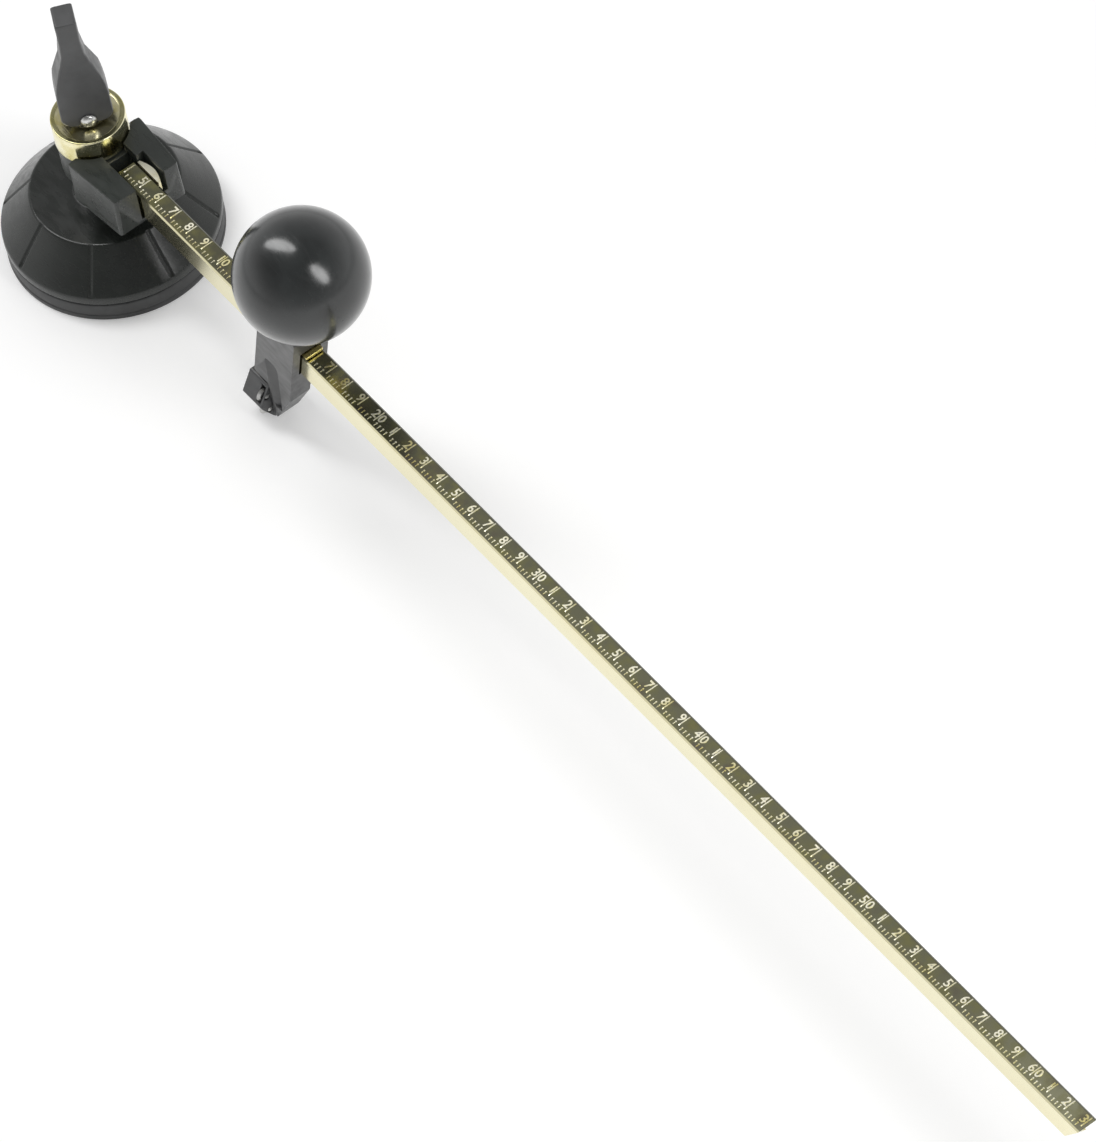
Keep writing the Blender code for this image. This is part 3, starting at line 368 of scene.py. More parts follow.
def bright_metal(name, colour, roughness, line_size=0.15 * MM):
    """Turned or ground steel with fine tool lines and faint stains."""
    darker, smoother, duller = 0.68, 0.08, 0.1
    finish, tree, shader = start_finish(name, colour, roughness, metallic=1.0)
    stain = band(tree, grain(tree, 1.6 * MM, detail=4), 0.45, 0.75)
    tree.links.new(tint(tree, stain, colour, shade(colour, darker)), shader.inputs["Base Color"])
    lines = grain(tree, line_size, detail=3, stretch=(5, 1, 1))
    tree.links.new(band(tree, lines, *MIDDLE, roughness - smoother, roughness + duller),
                   shader.inputs["Roughness"])
    relief(tree, shader, lines, depth=0.005 * MM, strength=0.4)
    return finish


def finish_for(name):
    """The finish of a name, made the first time that it is asked for."""
    label = f"{name}_finish"
    known = bpy.data.materials.get(label)
    if known:
        return known
    colours = bpy.context.scene.cutter_finishes
    makers = {
        "bell_moulding": lambda: moulded_plastic(label, tuple(colours.moulding), 0.26),
        "holder_moulding": lambda: moulded_plastic(label, shade(colours.moulding, 1.8), 0.3),
        "lever_satin": lambda: moulded_plastic(label, shade(colours.satin, 1.05), 0.38),
        "head_satin": lambda: moulded_plastic(label, tuple(colours.satin), 0.36),
        "ball_gloss": lambda: ball_plastic(label, tuple(colours.ball)),
        "cup_rubber": lambda: cup_rubber(label),
        # The ring's top gets a painted dark reflection
        "ring_brass": lambda: polished_brass(label, tuple(colours.brass),
                                             painted_reflection_from=RING_HIGH.z - CROWN_DROP),
        "plate_brass": lambda: polished_brass(label, PLATE_BRASS, 0.24),
        "figure_brass": lambda: polished_brass(label, FIGURE_BRASS, 0.42),
        "bar_brass": lambda: bar_brass(label, tuple(colours.brass), tuple(colours.field)),
        "bright_steel": lambda: bright_metal(label, STEEL, 0.26),
        "wheel_steel": lambda: bright_metal(label, WHEEL_STEEL, 0.3, 0.08 * MM),
    }
    return makers[name]()


# Shape helpers

def new_piece(name, shape):
    """Make an object at the origin from a bmesh."""
    mesh = bpy.data.meshes.new(name)
    shape.to_mesh(mesh)
    shape.free()
    piece = bpy.data.objects.new(name, mesh)
    bpy.context.scene.collection.objects.link(piece)
    return piece


def bake_mesh(piece):
    """Turn a piece's modifiers into its plain mesh."""
    bpy.context.view_layer.update()
    depsgraph = bpy.context.evaluated_depsgraph_get()
    shaped = bpy.data.meshes.new_from_object(piece.evaluated_get(depsgraph))
    piece.modifiers.clear()
    shaped.name = piece.name
    piece.data = shaped
    return piece


def turned(name, profile, steps, place=None):
    """Turn a profile of (radius, height) about Z; one that ends on the axis closes in a pole."""
    shape = bmesh.new()
    rings = []
    for radius, height in profile:
        if radius == 0:
            rings.append([shape.verts.new((0, 0, height))])
            continue
        turns = [2 * math.pi * step / steps for step in range(steps)]
        rings.append([shape.verts.new((radius * math.cos(turn), radius * math.sin(turn), height))
                      for turn in turns])
    pairs = list(zip(rings, rings[1:]))
    if profile[0][0] and profile[-1][0]:
        pairs.append((rings[-1], rings[0]))
    for lower, upper in pairs:
        for step in range(steps):
            following = (step + 1) % steps
            corners = dict.fromkeys((lower[step % len(lower)], lower[following % len(lower)],
                                     upper[following % len(upper)], upper[step % len(upper)]))
            if len(corners) > 2:
                shape.faces.new(corners)
    bmesh.ops.recalc_face_normals(shape, faces=shape.faces)
    if place:
        bmesh.ops.transform(shape, matrix=place, verts=shape.verts)
    piece = new_piece(name, shape)
    piece.data.shade_smooth()
    piece.data.set_sharp_from_angle(angle=SHARP_ANGLE)
    return piece


def rounded(outline, radius, steps=5):
    """Round each corner, off the axis, of a closed run of (radius, height) points."""
    points = [Vector(point) for point in outline]
    result = []
    for index, corner in enumerate(points):
        back = points[index - 1] - corner
        ahead = points[(index + 1) % len(points)] - corner
        on_axis = corner.x == 0
        run = min(radius, CORNER_SHARE * back.length, CORNER_SHARE * ahead.length)
        if on_axis or run <= 0:
            result.append(corner)
            continue
        start = corner + back.normalized() * run
        end = corner + ahead.normalized() * run
        for step in range(steps + 1):
            share = step / steps
            result.append(start.lerp(corner, share).lerp(corner.lerp(end, share), share))
    return [(point.x, point.y) for point in result]


def softened(name, node, edge, angle=30):
    """A copy of a CAD node, its flat facets joined and its outer edges rounded where they fit."""
    shape = bmesh.new()
    shape.from_mesh(NODES[node].data)
    bmesh.ops.remove_doubles(shape, verts=shape.verts, dist=MERGE)
    bmesh.ops.dissolve_limit(shape, angle_limit=FLAT_ANGLE, verts=shape.verts,
                             edges=shape.edges)
    bmesh.ops.connect_verts_concave(shape, faces=shape.faces)
    bmesh.ops.recalc_face_normals(shape, faces=shape.faces)
    weight = shape.edges.layers.float.new("bevel_weight_edge")
    for line in shape.edges:
        area = min(face.calc_area() for face in line.link_faces)
        roomy = area > BEVEL_ROOM * edge * line.calc_length()
        if roomy and line.is_convex and line.calc_face_angle(0) > math.radians(angle):
            line[weight] = 1
    piece = new_piece(name, shape)
    stored = piece.data.attributes.get("custom_normal")
    if stored:
        piece.data.attributes.remove(stored)
    bevel = piece.modifiers.new("Soft edges", "BEVEL")
    bevel.width = edge
    bevel.segments = BEVEL_SEGMENTS
    bevel.limit_method = "WEIGHT"
    piece.data.shade_smooth()
    weighted = piece.modifiers.new("Flat faces stay flat", "WEIGHTED_NORMAL")
    weighted.keep_sharp = True
    return bake_mesh(piece)


def wear(piece, finish, body, slot, *nodes):
    """Give a piece its finish and body, if one carries it, and let it stand for CAD nodes."""
    piece.data.materials.clear()
    piece.data.materials.append(finish_for(finish))
    if body:
        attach(piece, body)
    if nodes:
        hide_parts(*nodes)
    return piece


def coat(node, finish):
    """Give a CAD node a finish."""
    holder = NODES[node]
    if not holder.material_slots:
        holder.data.materials.append(None)
    for slot in holder.material_slots:
        slot.material = finish_for(finish)


def joint(name):
    """The place and the turn of a joint's axis, as a matrix with its Z along the axis."""
    entry = next(item for item in frame["joints"] if item["name"] == name)
    turn = Vector(entry["axis"]).to_track_quat("Z", "Y").to_matrix().to_4x4()
    return Matrix.Translation(entry["pos_m"]) @ turn


# Geometry Nodes trees

SOCKETS = {"count": "NodeSocketInt", "length": "NodeSocketFloat", "finish": "NodeSocketMaterial"}


def start_tree(name, inputs):
    """Return a new tree with named inputs, its input node and its output node."""
    tree = bpy.data.node_groups.new(name, "GeometryNodeTree")
    tree.interface.new_socket("Geometry", in_out="INPUT", socket_type="NodeSocketGeometry")
    for label, kind in inputs:
        tree.interface.new_socket(label, in_out="INPUT", socket_type=SOCKETS[kind])
    tree.interface.new_socket("Geometry", in_out="OUTPUT", socket_type="NodeSocketGeometry")
    return tree, tree.nodes.new("NodeGroupInput"), tree.nodes.new("NodeGroupOutput")


def sum_node(tree, operation, first, second=None, third=None):
    """Add a math node whose inputs are sockets or numbers."""
    node = tree.nodes.new("ShaderNodeMath")
    node.operation = operation
    for socket, value in zip(node.inputs, (first, second, third)):
        if value is not None:
            feed(tree, socket, value)
    return node.outputs[0]


def vector_node(tree, x, y, z):
    """Join three sockets or numbers into a vector."""
    node = tree.nodes.new("ShaderNodeCombineXYZ")
    for socket, value in zip(node.inputs, (x, y, z)):
        feed(tree, socket, value)
    return node.outputs[0]


def finish_tree(tree, geometry, given, given_out):
    """End a tree in Realize Instances and Set Material."""
    real = tree.nodes.new("GeometryNodeRealizeInstances")
    paint = tree.nodes.new("GeometryNodeSetMaterial")
    tree.links.new(geometry, real.inputs["Geometry"])
    tree.links.new(real.outputs["Geometry"], paint.inputs["Geometry"])
    tree.links.new(given.outputs["Finish"], paint.inputs["Material"])
    tree.links.new(paint.outputs["Geometry"], given_out.inputs["Geometry"])


def run_tree(piece, tree, values):
    """Run a tree on a piece with its inputs set, and keep the result as the piece's mesh."""
    modifier = piece.modifiers.new(tree.name, "NODES")
    modifier.node_group = tree
    for item in tree.interface.items_tree:
        if item.in_out == "INPUT" and item.name in values:
            modifier[item.identifier] = values[item.name]
    return bake_mesh(piece)


def scale_line_tree():
    """Lines of one kind at an even pitch along the bar, each a low tapered bar."""
    tree, given, out = start_tree("scale_lines", [
        ("Count", "count"), ("Every", "count"), ("Phase", "count"), ("Start X", "length"),
        ("Pitch", "length"), ("Centre Y", "length"), ("Base Z", "length"), ("Width", "length"),
        ("Length", "length"), ("Height", "length"), ("Finish", "finish")])
    value = given.outputs
    line = tree.nodes.new("GeometryNodeMeshLine")
    tree.links.new(value["Count"], line.inputs["Count"])
    tree.links.new(vector_node(tree, value["Start X"], value["Centre Y"], value["Base Z"]),
                   line.inputs["Start Location"])
    tree.links.new(vector_node(tree, value["Pitch"], 0, 0), line.inputs["Offset"])
    index = tree.nodes.new("GeometryNodeInputIndex")
    place = sum_node(tree, "MODULO", sum_node(tree, "ADD", index.outputs[0], value["Phase"]),
                     value["Every"])
    top_share = 0.72
    unit_corner = math.sqrt(0.5)
    taper = tree.nodes.new("GeometryNodeMeshCone")
    taper.inputs["Vertices"].default_value = 4
    taper.inputs["Radius Top"].default_value = top_share * unit_corner
    taper.inputs["Radius Bottom"].default_value = unit_corner
    taper.inputs["Depth"].default_value = 1
    square = tree.nodes.new("GeometryNodeTransform")
    square.inputs["Rotation"].default_value = (0, 0, math.pi / 4)
    tree.links.new(taper.outputs["Mesh"], square.inputs["Geometry"])
    copies = tree.nodes.new("GeometryNodeInstanceOnPoints")
    tree.links.new(line.outputs["Mesh"], copies.inputs["Points"])
    tree.links.new(square.outputs["Geometry"], copies.inputs["Instance"])
    tree.links.new(sum_node(tree, "GREATER_THAN", place, 0.5), copies.inputs["Selection"])
    tree.links.new(vector_node(tree, value["Width"], value["Length"], value["Height"]),
                   copies.inputs["Scale"])
    finish_tree(tree, copies.outputs["Instances"], given, out)
    return tree


def bell_groove_tree():
    """Shallow grooves at an even angle, pressed into the cone between two heights."""
    tree, given, out = start_tree("bell_grooves", [
        ("Count", "count"), ("Width", "length"), ("Depth", "length"), ("Turn", "length"),
        ("Low Z", "length"), ("High Z", "length"), ("Fall", "length"), ("Finish", "finish")])
    value = given.outputs
    dip_power = 0.6
    skin = 0.6 * MM
    inward_share, down_share = 0.78, 0.63
    where = tree.nodes.new("GeometryNodeInputPosition")
    split = tree.nodes.new("ShaderNodeSeparateXYZ")
    tree.links.new(where.outputs[0], split.inputs[0])
    x, y, z = split.outputs
    angle = sum_node(tree, "SUBTRACT", sum_node(tree, "ARCTAN2", y, x), value["Turn"])
    half_step = sum_node(tree, "DIVIDE", math.pi, value["Count"])
    nearest = sum_node(tree, "WRAP", angle, half_step, sum_node(tree, "MULTIPLY", half_step, -1))
    radius = sum_node(tree, "POWER", sum_node(tree, "ADD", sum_node(tree, "MULTIPLY", x, x),
                                              sum_node(tree, "MULTIPLY", y, y)), 0.5)
    off_line = sum_node(tree, "MULTIPLY", sum_node(tree, "ABSOLUTE", nearest), radius)
    share = sum_node(tree, "DIVIDE", off_line, sum_node(tree, "MULTIPLY", value["Width"], 0.5))
    dip = sum_node(tree, "SUBTRACT", 1, sum_node(tree, "MINIMUM", share, 1))
    soft_dip = sum_node(tree, "POWER", dip, dip_power)
    above = sum_node(tree, "GREATER_THAN", z, value["Low Z"])
    below = sum_node(tree, "LESS_THAN", z, value["High Z"])
    rise = sum_node(tree, "SUBTRACT", z, value["Low Z"])
    cone_radius = sum_node(tree, "SUBTRACT", BELL_HIGH.x,
                           sum_node(tree, "MULTIPLY", rise, value["Fall"]))
    outside = sum_node(tree, "GREATER_THAN", radius,
                       sum_node(tree, "SUBTRACT", cone_radius, skin))
    zone = sum_node(tree, "MULTIPLY", sum_node(tree, "MULTIPLY", above, below), outside)
    press = sum_node(tree, "MULTIPLY", sum_node(tree, "MULTIPLY", soft_dip, zone), value["Depth"])
    inward = sum_node(tree, "DIVIDE", sum_node(tree, "MULTIPLY", press, -inward_share), radius)
    shift = vector_node(tree, sum_node(tree, "MULTIPLY", inward, x),
                        sum_node(tree, "MULTIPLY", inward, y),
                        sum_node(tree, "MULTIPLY", press, -down_share))
    move = tree.nodes.new("GeometryNodeSetPosition")
    tree.links.new(value["Geometry"], move.inputs["Geometry"])
    tree.links.new(shift, move.inputs["Offset"])
    finish_tree(tree, move.outputs["Geometry"], given, out)
    return tree


def thread_tree():
    """A helical ridge on a screw."""
    tree, given, out = start_tree("screw_thread", [
        ("Turns", "length"), ("Radius", "length"), ("Rise", "length"), ("Ridge", "length"),
        ("Finish", "finish")])
    value = given.outputs
    helix = tree.nodes.new("GeometryNodeCurveSpiral")
    helix.inputs["Resolution"].default_value = 32
    tree.links.new(value["Turns"], helix.inputs["Rotations"])
    tree.links.new(value["Radius"], helix.inputs["Start Radius"])
    tree.links.new(value["Radius"], helix.inputs["End Radius"])
    tree.links.new(value["Rise"], helix.inputs["Height"])
    ridge = tree.nodes.new("GeometryNodeCurvePrimitiveCircle")
    ridge.inputs["Resolution"].default_value = 6
    tree.links.new(value["Ridge"], ridge.inputs["Radius"])
    sweep = tree.nodes.new("GeometryNodeCurveToMesh")
    sweep.inputs["Fill Caps"].default_value = True
    tree.links.new(helix.outputs["Curve"], sweep.inputs["Curve"])
    tree.links.new(ridge.outputs["Curve"], sweep.inputs["Profile Curve"])
    finish_tree(tree, sweep.outputs["Mesh"], given, out)
    return tree


# Pieces

class CUTTER_OT_bell(bpy.types.Operator):
    """Replace the bell with a smooth one that has soft edges and pressed grooves"""
    bl_idname = "cutter.bell"
    bl_label = "Bell"

    def execute(self, context):
        sizes = context.scene.cutter_bell
        slope = (BELL_HIGH.x - sizes.disc_radius) / (sizes.disc_height - sizes.rim_height)
        rim_radius = BELL_HIGH.x
        wall_radius = rim_radius - 1.75 * MM
        hollow_z = 12.7 * MM
        hollow_radius = wall_radius - (hollow_z - sizes.rim_height) * slope
        boss_radius = 6 * MM
        seat_radius = 4.5 * MM
        seat_z = BELL_HIGH.z - 3 * MM
        corner = 0.4 * MM
        cone_rows = 8
        groove_low = sizes.rim_height + 0.2 * MM
        groove_high = sizes.disc_height - 0.05 * MM
        inner = [(STUD_BORE, hollow_z), (hollow_radius, hollow_z),
                 (wall_radius, sizes.rim_height), (wall_radius, BELL_LOW.z)]
        outer = [(rim_radius, BELL_LOW.z), (rim_radius, sizes.rim_height)]
        crown = [(sizes.disc_radius, sizes.disc_height), (boss_radius, sizes.disc_height),
                 (boss_radius, BELL_HIGH.z), (seat_radius, BELL_HIGH.z), (seat_radius, seat_z),
                 (STUD_BORE, seat_z)]
        soft = rounded(inner + outer + crown, corner)
        rim_end = max(index for index, point in enumerate(soft)
                      if abs(point[0] - rim_radius) < corner)
        start, end = soft[rim_end], soft[rim_end + 1]
        rows = [(start[0] + (end[0] - start[0]) * row / cone_rows,
                 start[1] + (end[1] - start[1]) * row / cone_rows) for row in range(1, cone_rows)]
        bell = turned("bell", soft[:rim_end + 1] + rows + soft[rim_end + 1:], BELL_STEPS)
        run_tree(bell, bell_groove_tree(), {
            "Count": sizes.groove_count, "Width": sizes.groove_width, "Depth": sizes.groove_depth,
            "Turn": sizes.groove_turn, "Low Z": groove_low, "High Z": groove_high, "Fall": slope,
            "Finish": finish_for("bell_moulding")})
        wear(bell, "bell_moulding", "base", "bell_plastic", "base_housing")
        return {"FINISHED"}


class CUTTER_OT_cup(bpy.types.Operator):
    """Replace the suction pad with a rubber cup that has a lip, a hollow face and a boss"""
    bl_idname = "cutter.cup"
    bl_label = "Suction cup"

    def execute(self, context):
        radius = PAD_HIGH.x
        lip_groove = 0.16 * MM
        rim = 4.5 * MM
        top = PAD_HIGH.z
        stud_seat = top - 2 * MM
        corner = 0.45 * MM
        face = [(0, 0.9 * MM), (7 * MM, 0.8 * MM), (15 * MM, 0.35 * MM), (18.4 * MM, 0)]
        lip = [(radius, 0), (radius, 1.2 * MM), (radius - lip_groove, 1.35 * MM),
               (radius - lip_groove, 1.6 * MM), (radius, 1.75 * MM), (radius, rim)]
        shoulder = [(radius - 2.6 * MM, rim), (radius - 3.3 * MM, rim + 0.7 * MM),
                    (9.5 * MM, rim + 1.6 * MM)]
        boss = [(8.6 * MM, top - 0.5 * MM), (8.1 * MM, top), (STUD_BORE, top),
                (STUD_BORE, stud_seat), (0, stud_seat)]
        cup = turned("suction_cup", rounded(face + lip + shoulder + boss, corner), FINE_STEPS)
        wear(cup, "cup_rubber", None, "pad_rubber", "suction_pad")
        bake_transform(cup)
        return {"FINISHED"}


class CUTTER_OT_ring(bpy.types.Operator):
    """Replace the brass ring with a smooth one and finish its washer"""
    bl_idname = "cutter.ring"
    bl_label = "Swivel ring"

    def execute(self, context):
        radius = RING_HIGH.x
        top = RING_HIGH.z
        crown = top - CROWN_DROP
        foot = top - 6.08 * MM
        sleeve = 4.2 * MM
        rim_inside, crown_outside = radius - 0.9 * MM, radius - 1.05 * MM
        mouth, mouth_foot = 3.4 * MM, top - 0.3 * MM
        corner = 0.3 * MM
        outline = [(STUD_BORE, RING_LOW.z), (sleeve, RING_LOW.z), (sleeve, foot), (radius, foot),
                   (radius, top), (rim_inside, top), (crown_outside, crown), (mouth, crown),
                   (STUD_BORE, mouth_foot)]
        wear(turned("swivel_ring", rounded(outline, corner), FINE_STEPS), "ring_brass", "base",
             "ring_brass", "swivel_bush")
        coat("thrust_washer", "bright_steel")
        return {"FINISHED"}


class CUTTER_OT_lever(bpy.types.Operator):
    """Soften the lever, and dress its rivet and the stud it turns on"""
    bl_idname = "cutter.lever"
    bl_label = "Cam lever"

    def execute(self, context):
        wear(softened("flip_lever", "cam_lever", 0.32 * MM), "lever_satin", "lever",
             "lever_plastic", "cam_lever")
        half = 5.8 * MM / 2
        dome_radius, dome_height, shank = 1.6 * MM, 0.9 * MM, 1 * MM
        off_centre = 0.3 * MM
        dome_steps = 8
        turns = [math.pi / 2 * step / dome_steps for step in range(dome_steps + 1)]
        dome = [(dome_radius * math.sin(turn), half + dome_height * math.cos(turn))
                for turn in turns]
        lower = [(radius, -height) for radius, height in reversed(dome)]
        rivet = dome + [(shank, half), (shank, -half)] + lower
        place = joint("lever_flip") @ Matrix.Translation((0, 0, off_centre))
        wear(turned("rivet", rivet, SMALL_STEPS, place), "bright_steel", "lever", "bright_steel",
             "lever_rivet")
        coat("pad_stud", "bright_steel")
        return {"FINISHED"}


class CUTTER_OT_holder(bpy.types.Operator):
    """Soften the forked holder and finish its pin and its shoe"""
    bl_idname = "cutter.holder"
    bl_label = "Bar holder"

    def execute(self, context):
        wear(softened("fork_holder", "bar_holder", 0.4 * MM), "holder_moulding", "arm",
             "holder_plastic", "bar_holder")
        coat("bar_pin", "bright_steel")
        coat("bar_spring", "figure_brass")
        return {"FINISHED"}


class CUTTER_OT_bar(bpy.types.Operator):
    """Finish the bar and raise its lines and figures"""
    bl_idname = "cutter.bar"
    bl_label = "Bar and scale"

    def execute(self, context):
        coat("measuring_bar", "bar_brass")
        scale = context.scene.cutter_scale
        self.add_lines(scale)
        self.add_figures(scale)
        return {"FINISHED"}

    def add_lines(self, scale):
        """The unit lines from the far edge, and the short lines between them by the near edge."""
        start = scale.unit_length * (scale.first - scale.zero_unit)
        units = scale.last - scale.first
        shares = 5
        past_last = 2
        none_left_out = 10 * units
        count = units * shares + past_last
        pitch = scale.unit_length / shares
        far = BAR_HIGH.y - 0.38 * MM
        neck = -1.02 * MM
        sunk = 0.02 * MM
        tree = scale_line_tree()
        kinds = (
            ("unit_lines", units + 1, none_left_out, 1, scale.unit_length, far, -1.05 * MM,
             scale.line_width),
            ("short_lines", count, shares, 0, pitch, neck, -1.6 * MM, 0.15 * MM),
            ("short_line_heads", count, shares, 0, pitch, -0.66 * MM, neck, 0.36 * MM),
        )
        for name, number, every, phase, step, high, low, width in kinds:
            piece = run_tree(new_piece(name, bmesh.new()), tree, {
                "Count": number, "Every": every, "Phase": phase, "Start X": start, "Pitch": step,
                "Centre Y": (high + low) / 2, "Base Z": BAR_HIGH.z - sunk, "Width": width,
                "Length": high - low, "Height": scale.proud + sunk,
                "Finish": finish_for("figure_brass")})
            wear(piece, "figure_brass", "arm", "bar_brass")

    def add_figures(self, scale):
        """A unit's last figure on the left of its line, and a ten's figures on both sides."""
        glyphs = [self.glyph(str(figure), scale) for figure in range(10)]
        shape = bmesh.new()
        gap = 0.3 * MM
        for number in range(scale.first + 1, scale.last + 1):
            x = scale.unit_length * (number - scale.zero_unit)
            tens, ones = divmod(number, 10)
            left, right = (tens, ones) if ones == 0 else (ones, None)
            self.stamp(shape, glyphs[left], x - gap - glyphs[left][1])
            if right is not None:
                self.stamp(shape, glyphs[right], x + gap)
        figures = new_piece("scale_figures", shape)
        wear(figures, "figure_brass", "arm", "bar_brass")

    def glyph(self, text, scale):
        """One figure as a mesh from the middle of its left edge, with its width."""
        height_share = 0.7
        stroke_swell = 0.035 * MM
        curve = bpy.data.curves.new("figure", "FONT")
        curve.body = text
        curve.size = scale.figure_height / height_share
        curve.extrude = scale.proud / 2
        curve.offset = stroke_swell
        curve.resolution_u = 3
        letter = bpy.data.objects.new("figure", curve)
        bpy.context.scene.collection.objects.link(letter)
        bpy.context.view_layer.update()
        depsgraph = bpy.context.evaluated_depsgraph_get()
        mesh = bpy.data.meshes.new_from_object(letter.evaluated_get(depsgraph))
        bpy.data.objects.remove(letter)
        xs = [vertex.co.x for vertex in mesh.vertices]
        ys = [vertex.co.y for vertex in mesh.vertices]
        mesh.transform(Matrix.Translation((-min(xs), -(min(ys) + max(ys)) / 2, 0)))
        return mesh, max(xs) - min(xs)

    def stamp(self, shape, glyph, x):
        """Add a figure to the shape with its left edge at x."""
        middle_y, lift = 0.52 * MM, 0.035 * MM
        mesh = glyph[0].copy()
        mesh.transform(Matrix.Translation((x, middle_y, BAR_HIGH.z + lift)))
        shape.from_mesh(mesh)
        bpy.data.meshes.remove(mesh)


class CUTTER_OT_head(bpy.types.Operator):
    """Soften the sliding head and finish its pressure plate"""
    bl_idname = "cutter.head"
    bl_label = "Sliding head"

    def execute(self, context):
        wear(softened("head_moulding", "carriage_body", 0.3 * MM, angle=36), "head_satin",
             "head", "head_plastic", "carriage_body")
        wear(softened("clamp_plate", "pressure_plate", 0.12 * MM), "plate_brass", "head",
             "ring_brass", "pressure_plate")
        return {"FINISHED"}


class CUTTER_OT_knob(bpy.types.Operator):
    """Replace the ball with a smooth one, dress its insert and cut the screw's thread"""
    bl_idname = "cutter.knob"
    bl_label = "Ball knob"

    def execute(self, context):
        place = joint("knob_turn")
        radius = 13.16 * MM
        collar = 4.7 * MM
        flat = math.sqrt(radius ** 2 - collar ** 2)
        start = math.atan2(-flat, collar)
        socket_top = 9 * MM - flat
        socket_radius = 3.8 * MM
        arc_steps = 72
        thread_foot = -flat - 9.2 * MM
        socket = [(0, socket_top), (socket_radius, socket_top), (socket_radius, -flat)]
        turns = [start + (math.pi / 2 - start) * step / arc_steps for step in range(arc_steps)]
        arc = [(radius * math.cos(turn), radius * math.sin(turn)) for turn in turns]
        ball = turned("ball_grip", socket + arc + [(0, radius)], FINE_STEPS, place)
        wear(ball, "ball_gloss", "knob", "ball_plastic", "ball_knob")
        coat("knob_insert", "plate_brass")
        coat("clamp_screw", "bright_steel")
        thread = run_tree(new_piece("clamp_thread", bmesh.new()), thread_tree(), {
            "Turns": 8.0, "Radius": 2.28 * MM, "Rise": 8 * MM, "Ridge": 0.16 * MM,
            "Finish": finish_for("bright_steel")})
        thread.data.transform(place @ Matrix.Translation((0, 0, thread_foot)))
        thread.data.shade_smooth()
        wear(thread, "bright_steel", "knob", "bright_steel")
        return {"FINISHED"}


class CUTTER_OT_turret(bpy.types.Operator):
    """Soften the turret and dress its screw, its axles and its wheels"""
    bl_idname = "cutter.turret"
    bl_label = "Turret and wheels"

    def execute(self, context):
        wear(softened("wheel_turret", "cutter_turret", 0.14 * MM), "head_satin", "turret",
             "head_plastic", "cutter_turret")
        wear(softened("pivot_screw", "turret_screw", 0.08 * MM), "bright_steel", "head",
             "bright_steel", "turret_screw")
        coat("spring_washer", "bright_steel")
        bore, hub, ground, edge = 0.65 * MM, 1.15 * MM, 1.62 * MM, 1.7 * MM
        half, bevel = 0.45 * MM, 0.06 * MM
        outline = [(bore, -half), (hub, -half), (ground, -bevel), (edge, 0), (ground, bevel),
                   (hub, half), (bore, half)]
        for number in range(1, WHEEL_COUNT + 1):
            coat(f"wheel_axle_{number}", "bright_steel")
            axle = joint(f"wheel_spin_{number}")
            wheel = turned(f"wheel_{number}_ground", outline, SMALL_STEPS, axle)
            wear(wheel, "wheel_steel", f"wheel_{number}", "wheel_steel", f"cutting_wheel_{number}")
        return {"FINISHED"}


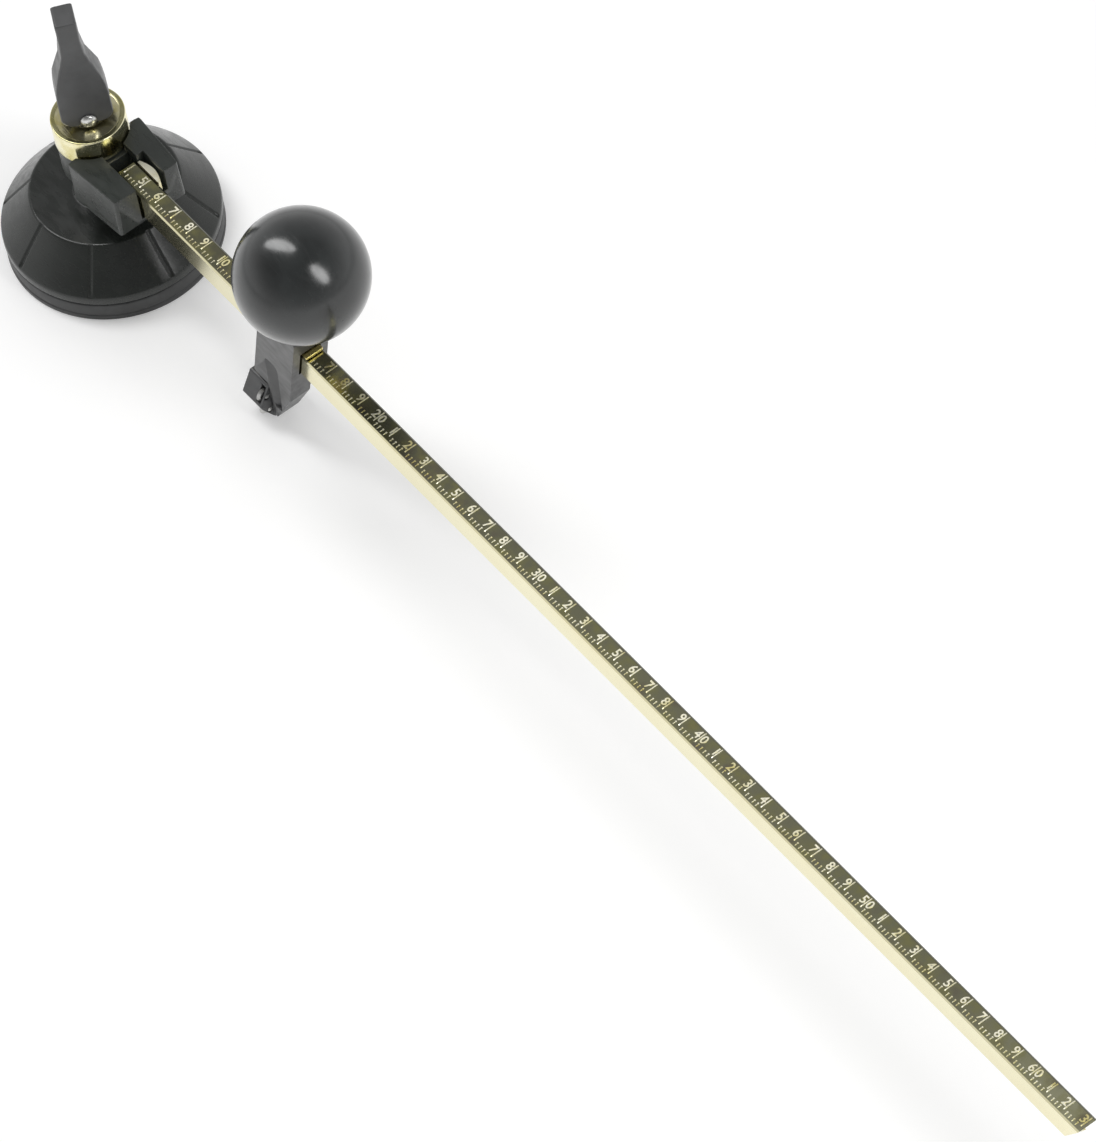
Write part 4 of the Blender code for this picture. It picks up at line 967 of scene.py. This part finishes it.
class CUTTER_OT_stage(bpy.types.Operator):
    """Set the floor, the soft light and the camera"""
    bl_idname = "cutter.stage"
    bl_label = "Stage"

    def execute(self, context):
        settings = context.scene.cutter_stage
        self.add_floor(settings)
        self.add_sky(settings)
        ball = Vector((0.074, 0, 0.057))
        reach = 0.55
        self.add_softbox("left_softbox", ball + reach * Vector((-0.465, -0.142, 0.875)), ball,
                         (0.54, 0.17), math.radians(-38), 1.35 * settings.lamp_level)
        self.add_softbox("right_softbox", ball + reach * Vector((0.755, 0.188, 0.628)), ball,
                         (0.38, 0.17), math.radians(-42), 1.0 * settings.lamp_level)
        self.add_camera()
        context.scene.view_settings.view_transform = "Standard"
        return {"FINISHED"}

    def add_floor(self, settings):
        """A wide pale floor, white to the camera and to metal, that still takes a shadow."""
        half_width = 6
        glow_level = 0.2
        shape = bmesh.new()
        bmesh.ops.create_grid(shape, x_segments=1, y_segments=1, size=half_width)
        floor = new_piece("floor", shape)
        finish = bpy.data.materials.new("floor_white")
        finish.use_nodes = True
        tree = finish.node_tree
        tree.nodes.clear()
        matt = tree.nodes.new("ShaderNodeBsdfDiffuse")
        matt.inputs["Color"].default_value = (*settings.floor, 1)
        glow = tree.nodes.new("ShaderNodeEmission")
        glow.inputs["Color"].default_value = (1, 1, 1, 1)
        ray = tree.nodes.new("ShaderNodeLightPath")
        seen = sum_node(tree, "MAXIMUM", sum_node(tree, "MAXIMUM", ray.outputs["Is Camera Ray"],
                                                  ray.outputs["Is Glossy Ray"]),
                        ray.outputs["Is Transmission Ray"])
        tree.links.new(sum_node(tree, "MULTIPLY", seen, glow_level), glow.inputs["Strength"])
        both = tree.nodes.new("ShaderNodeAddShader")
        out = tree.nodes.new("ShaderNodeOutputMaterial")
        tree.links.new(matt.outputs[0], both.inputs[0])
        tree.links.new(glow.outputs[0], both.inputs[1])
        tree.links.new(both.outputs[0], out.inputs["Surface"])
        floor.data.materials.append(finish)

    def add_sky(self, settings):
        """Even light, white to the camera, that metal mirrors as grey overhead and in front."""
        world = bpy.data.worlds.new("studio")
        bpy.context.scene.world = world
        world.use_nodes = True
        tree = world.node_tree
        sky = tree.nodes["Background"]
        ray = tree.nodes.new("ShaderNodeLightPath")
        place = tree.nodes.new("ShaderNodeTexCoord")
        split = tree.nodes.new("ShaderNodeSeparateXYZ")
        tree.links.new(place.outputs["Generated"], split.inputs[0])
        level_sides, level_overhead, level_front = 0.95, 0.4, 0.4
        overhead = band(tree, split.outputs["Z"], 0.05, 0.75, level_sides, level_overhead)
        facing = tree.nodes.new("ShaderNodeVectorMath")
        facing.operation = "DOT_PRODUCT"
        facing.inputs[1].default_value = CAMERA_BACK
        tree.links.new(place.outputs["Generated"], facing.inputs[0])
        shy = band(tree, facing.outputs["Value"], 0.1, 0.75, 1, level_front)
        mirrored = sum_node(tree, "MULTIPLY", ray.outputs["Is Glossy Ray"],
                            sum_node(tree, "MULTIPLY", overhead, shy))
        plain = sum_node(tree, "MULTIPLY", ray.outputs["Is Diffuse Ray"], settings.sky_level)
        white = sum_node(tree, "MAXIMUM", ray.outputs["Is Camera Ray"],
                         ray.outputs["Is Transmission Ray"])
        level = sum_node(tree, "MAXIMUM", sum_node(tree, "MAXIMUM", mirrored, plain), white)
        sky.inputs["Color"].default_value = (1, 1, 1, 1)
        tree.links.new(level, sky.inputs["Strength"])

    def add_softbox(self, name, place, target, size, roll, power):
        """A softbox that faces the ball, level in the picture but for its roll, and unseen."""
        lamp = bpy.data.lights.new(name, "AREA")
        lamp.shape = "ELLIPSE"
        lamp.size, lamp.size_y = size
        lamp.energy = power
        box = bpy.data.objects.new(name, lamp)
        back = (place - target).normalized()
        side = (CAMERA_RIGHT - CAMERA_RIGHT.dot(back) * back).normalized()
        turn = Matrix((side, back.cross(side), back)).transposed().to_4x4()
        box.matrix_world = Matrix.Translation(place) @ turn @ Matrix.Rotation(roll, 4, "Z")
        box.visible_camera = False
        bpy.context.scene.collection.objects.link(box)

    def add_camera(self):
        """The photograph's camera, fitted to the bar, the bell and the ball."""
        lens = bpy.data.cameras.new("photo_camera")
        lens.sensor_fit = "AUTO"
        lens.sensor_width = 36
        lens.lens = 488.27
        lens.shift_x = -0.004
        lens.shift_y = 0.0006
        lens.clip_start = 0.1
        lens.clip_end = 10
        camera = bpy.data.objects.new("photo_camera", lens)
        turn = Matrix((CAMERA_RIGHT, CAMERA_UP, CAMERA_BACK)).transposed().to_4x4()
        camera.matrix_world = Matrix.Translation(CAMERA_PLACE) @ turn
        bpy.context.scene.collection.objects.link(camera)
        bpy.context.scene.camera = camera


PIECES = (CUTTER_OT_bell, CUTTER_OT_cup, CUTTER_OT_ring, CUTTER_OT_lever, CUTTER_OT_holder,
          CUTTER_OT_bar, CUTTER_OT_head, CUTTER_OT_knob, CUTTER_OT_turret, CUTTER_OT_stage)
SETTINGS = (("cutter_bell", BellSettings), ("cutter_scale", ScaleSettings),
            ("cutter_finishes", FinishSettings), ("cutter_stage", StageSettings))


class CUTTER_PT_panel(bpy.types.Panel):
    """Lists the cutter's settings and its pieces"""
    bl_idname = "CUTTER_PT_panel"
    bl_label = "Circle Cutter"
    bl_space_type = "VIEW_3D"
    bl_region_type = "UI"
    bl_category = "Cutter"

    def draw(self, context):
        for piece in PIECES:
            self.layout.operator(piece.bl_idname)
        for name, group in SETTINGS:
            box = self.layout.box()
            for setting in group.__annotations__:
                box.prop(getattr(context.scene, name), setting)


def register():
    for kind in [group for name, group in SETTINGS] + list(PIECES) + [CUTTER_PT_panel]:
        bpy.utils.register_class(kind)
    for name, group in SETTINGS:
        setattr(bpy.types.Scene, name, bpy.props.PointerProperty(type=group))


def unregister():
    for name, group in SETTINGS:
        delattr(bpy.types.Scene, name)
    for kind in [CUTTER_PT_panel] + list(PIECES) + [group for name, group in SETTINGS]:
        bpy.utils.unregister_class(kind)


def main():
    register()
    bpy.ops.cutter.bell()
    bpy.ops.cutter.cup()
    bpy.ops.cutter.ring()
    bpy.ops.cutter.lever()
    bpy.ops.cutter.holder()
    bpy.ops.cutter.bar()
    bpy.ops.cutter.head()
    bpy.ops.cutter.knob()
    bpy.ops.cutter.turret()
    bpy.ops.cutter.stage()


if __name__ == "__main__":
    main()
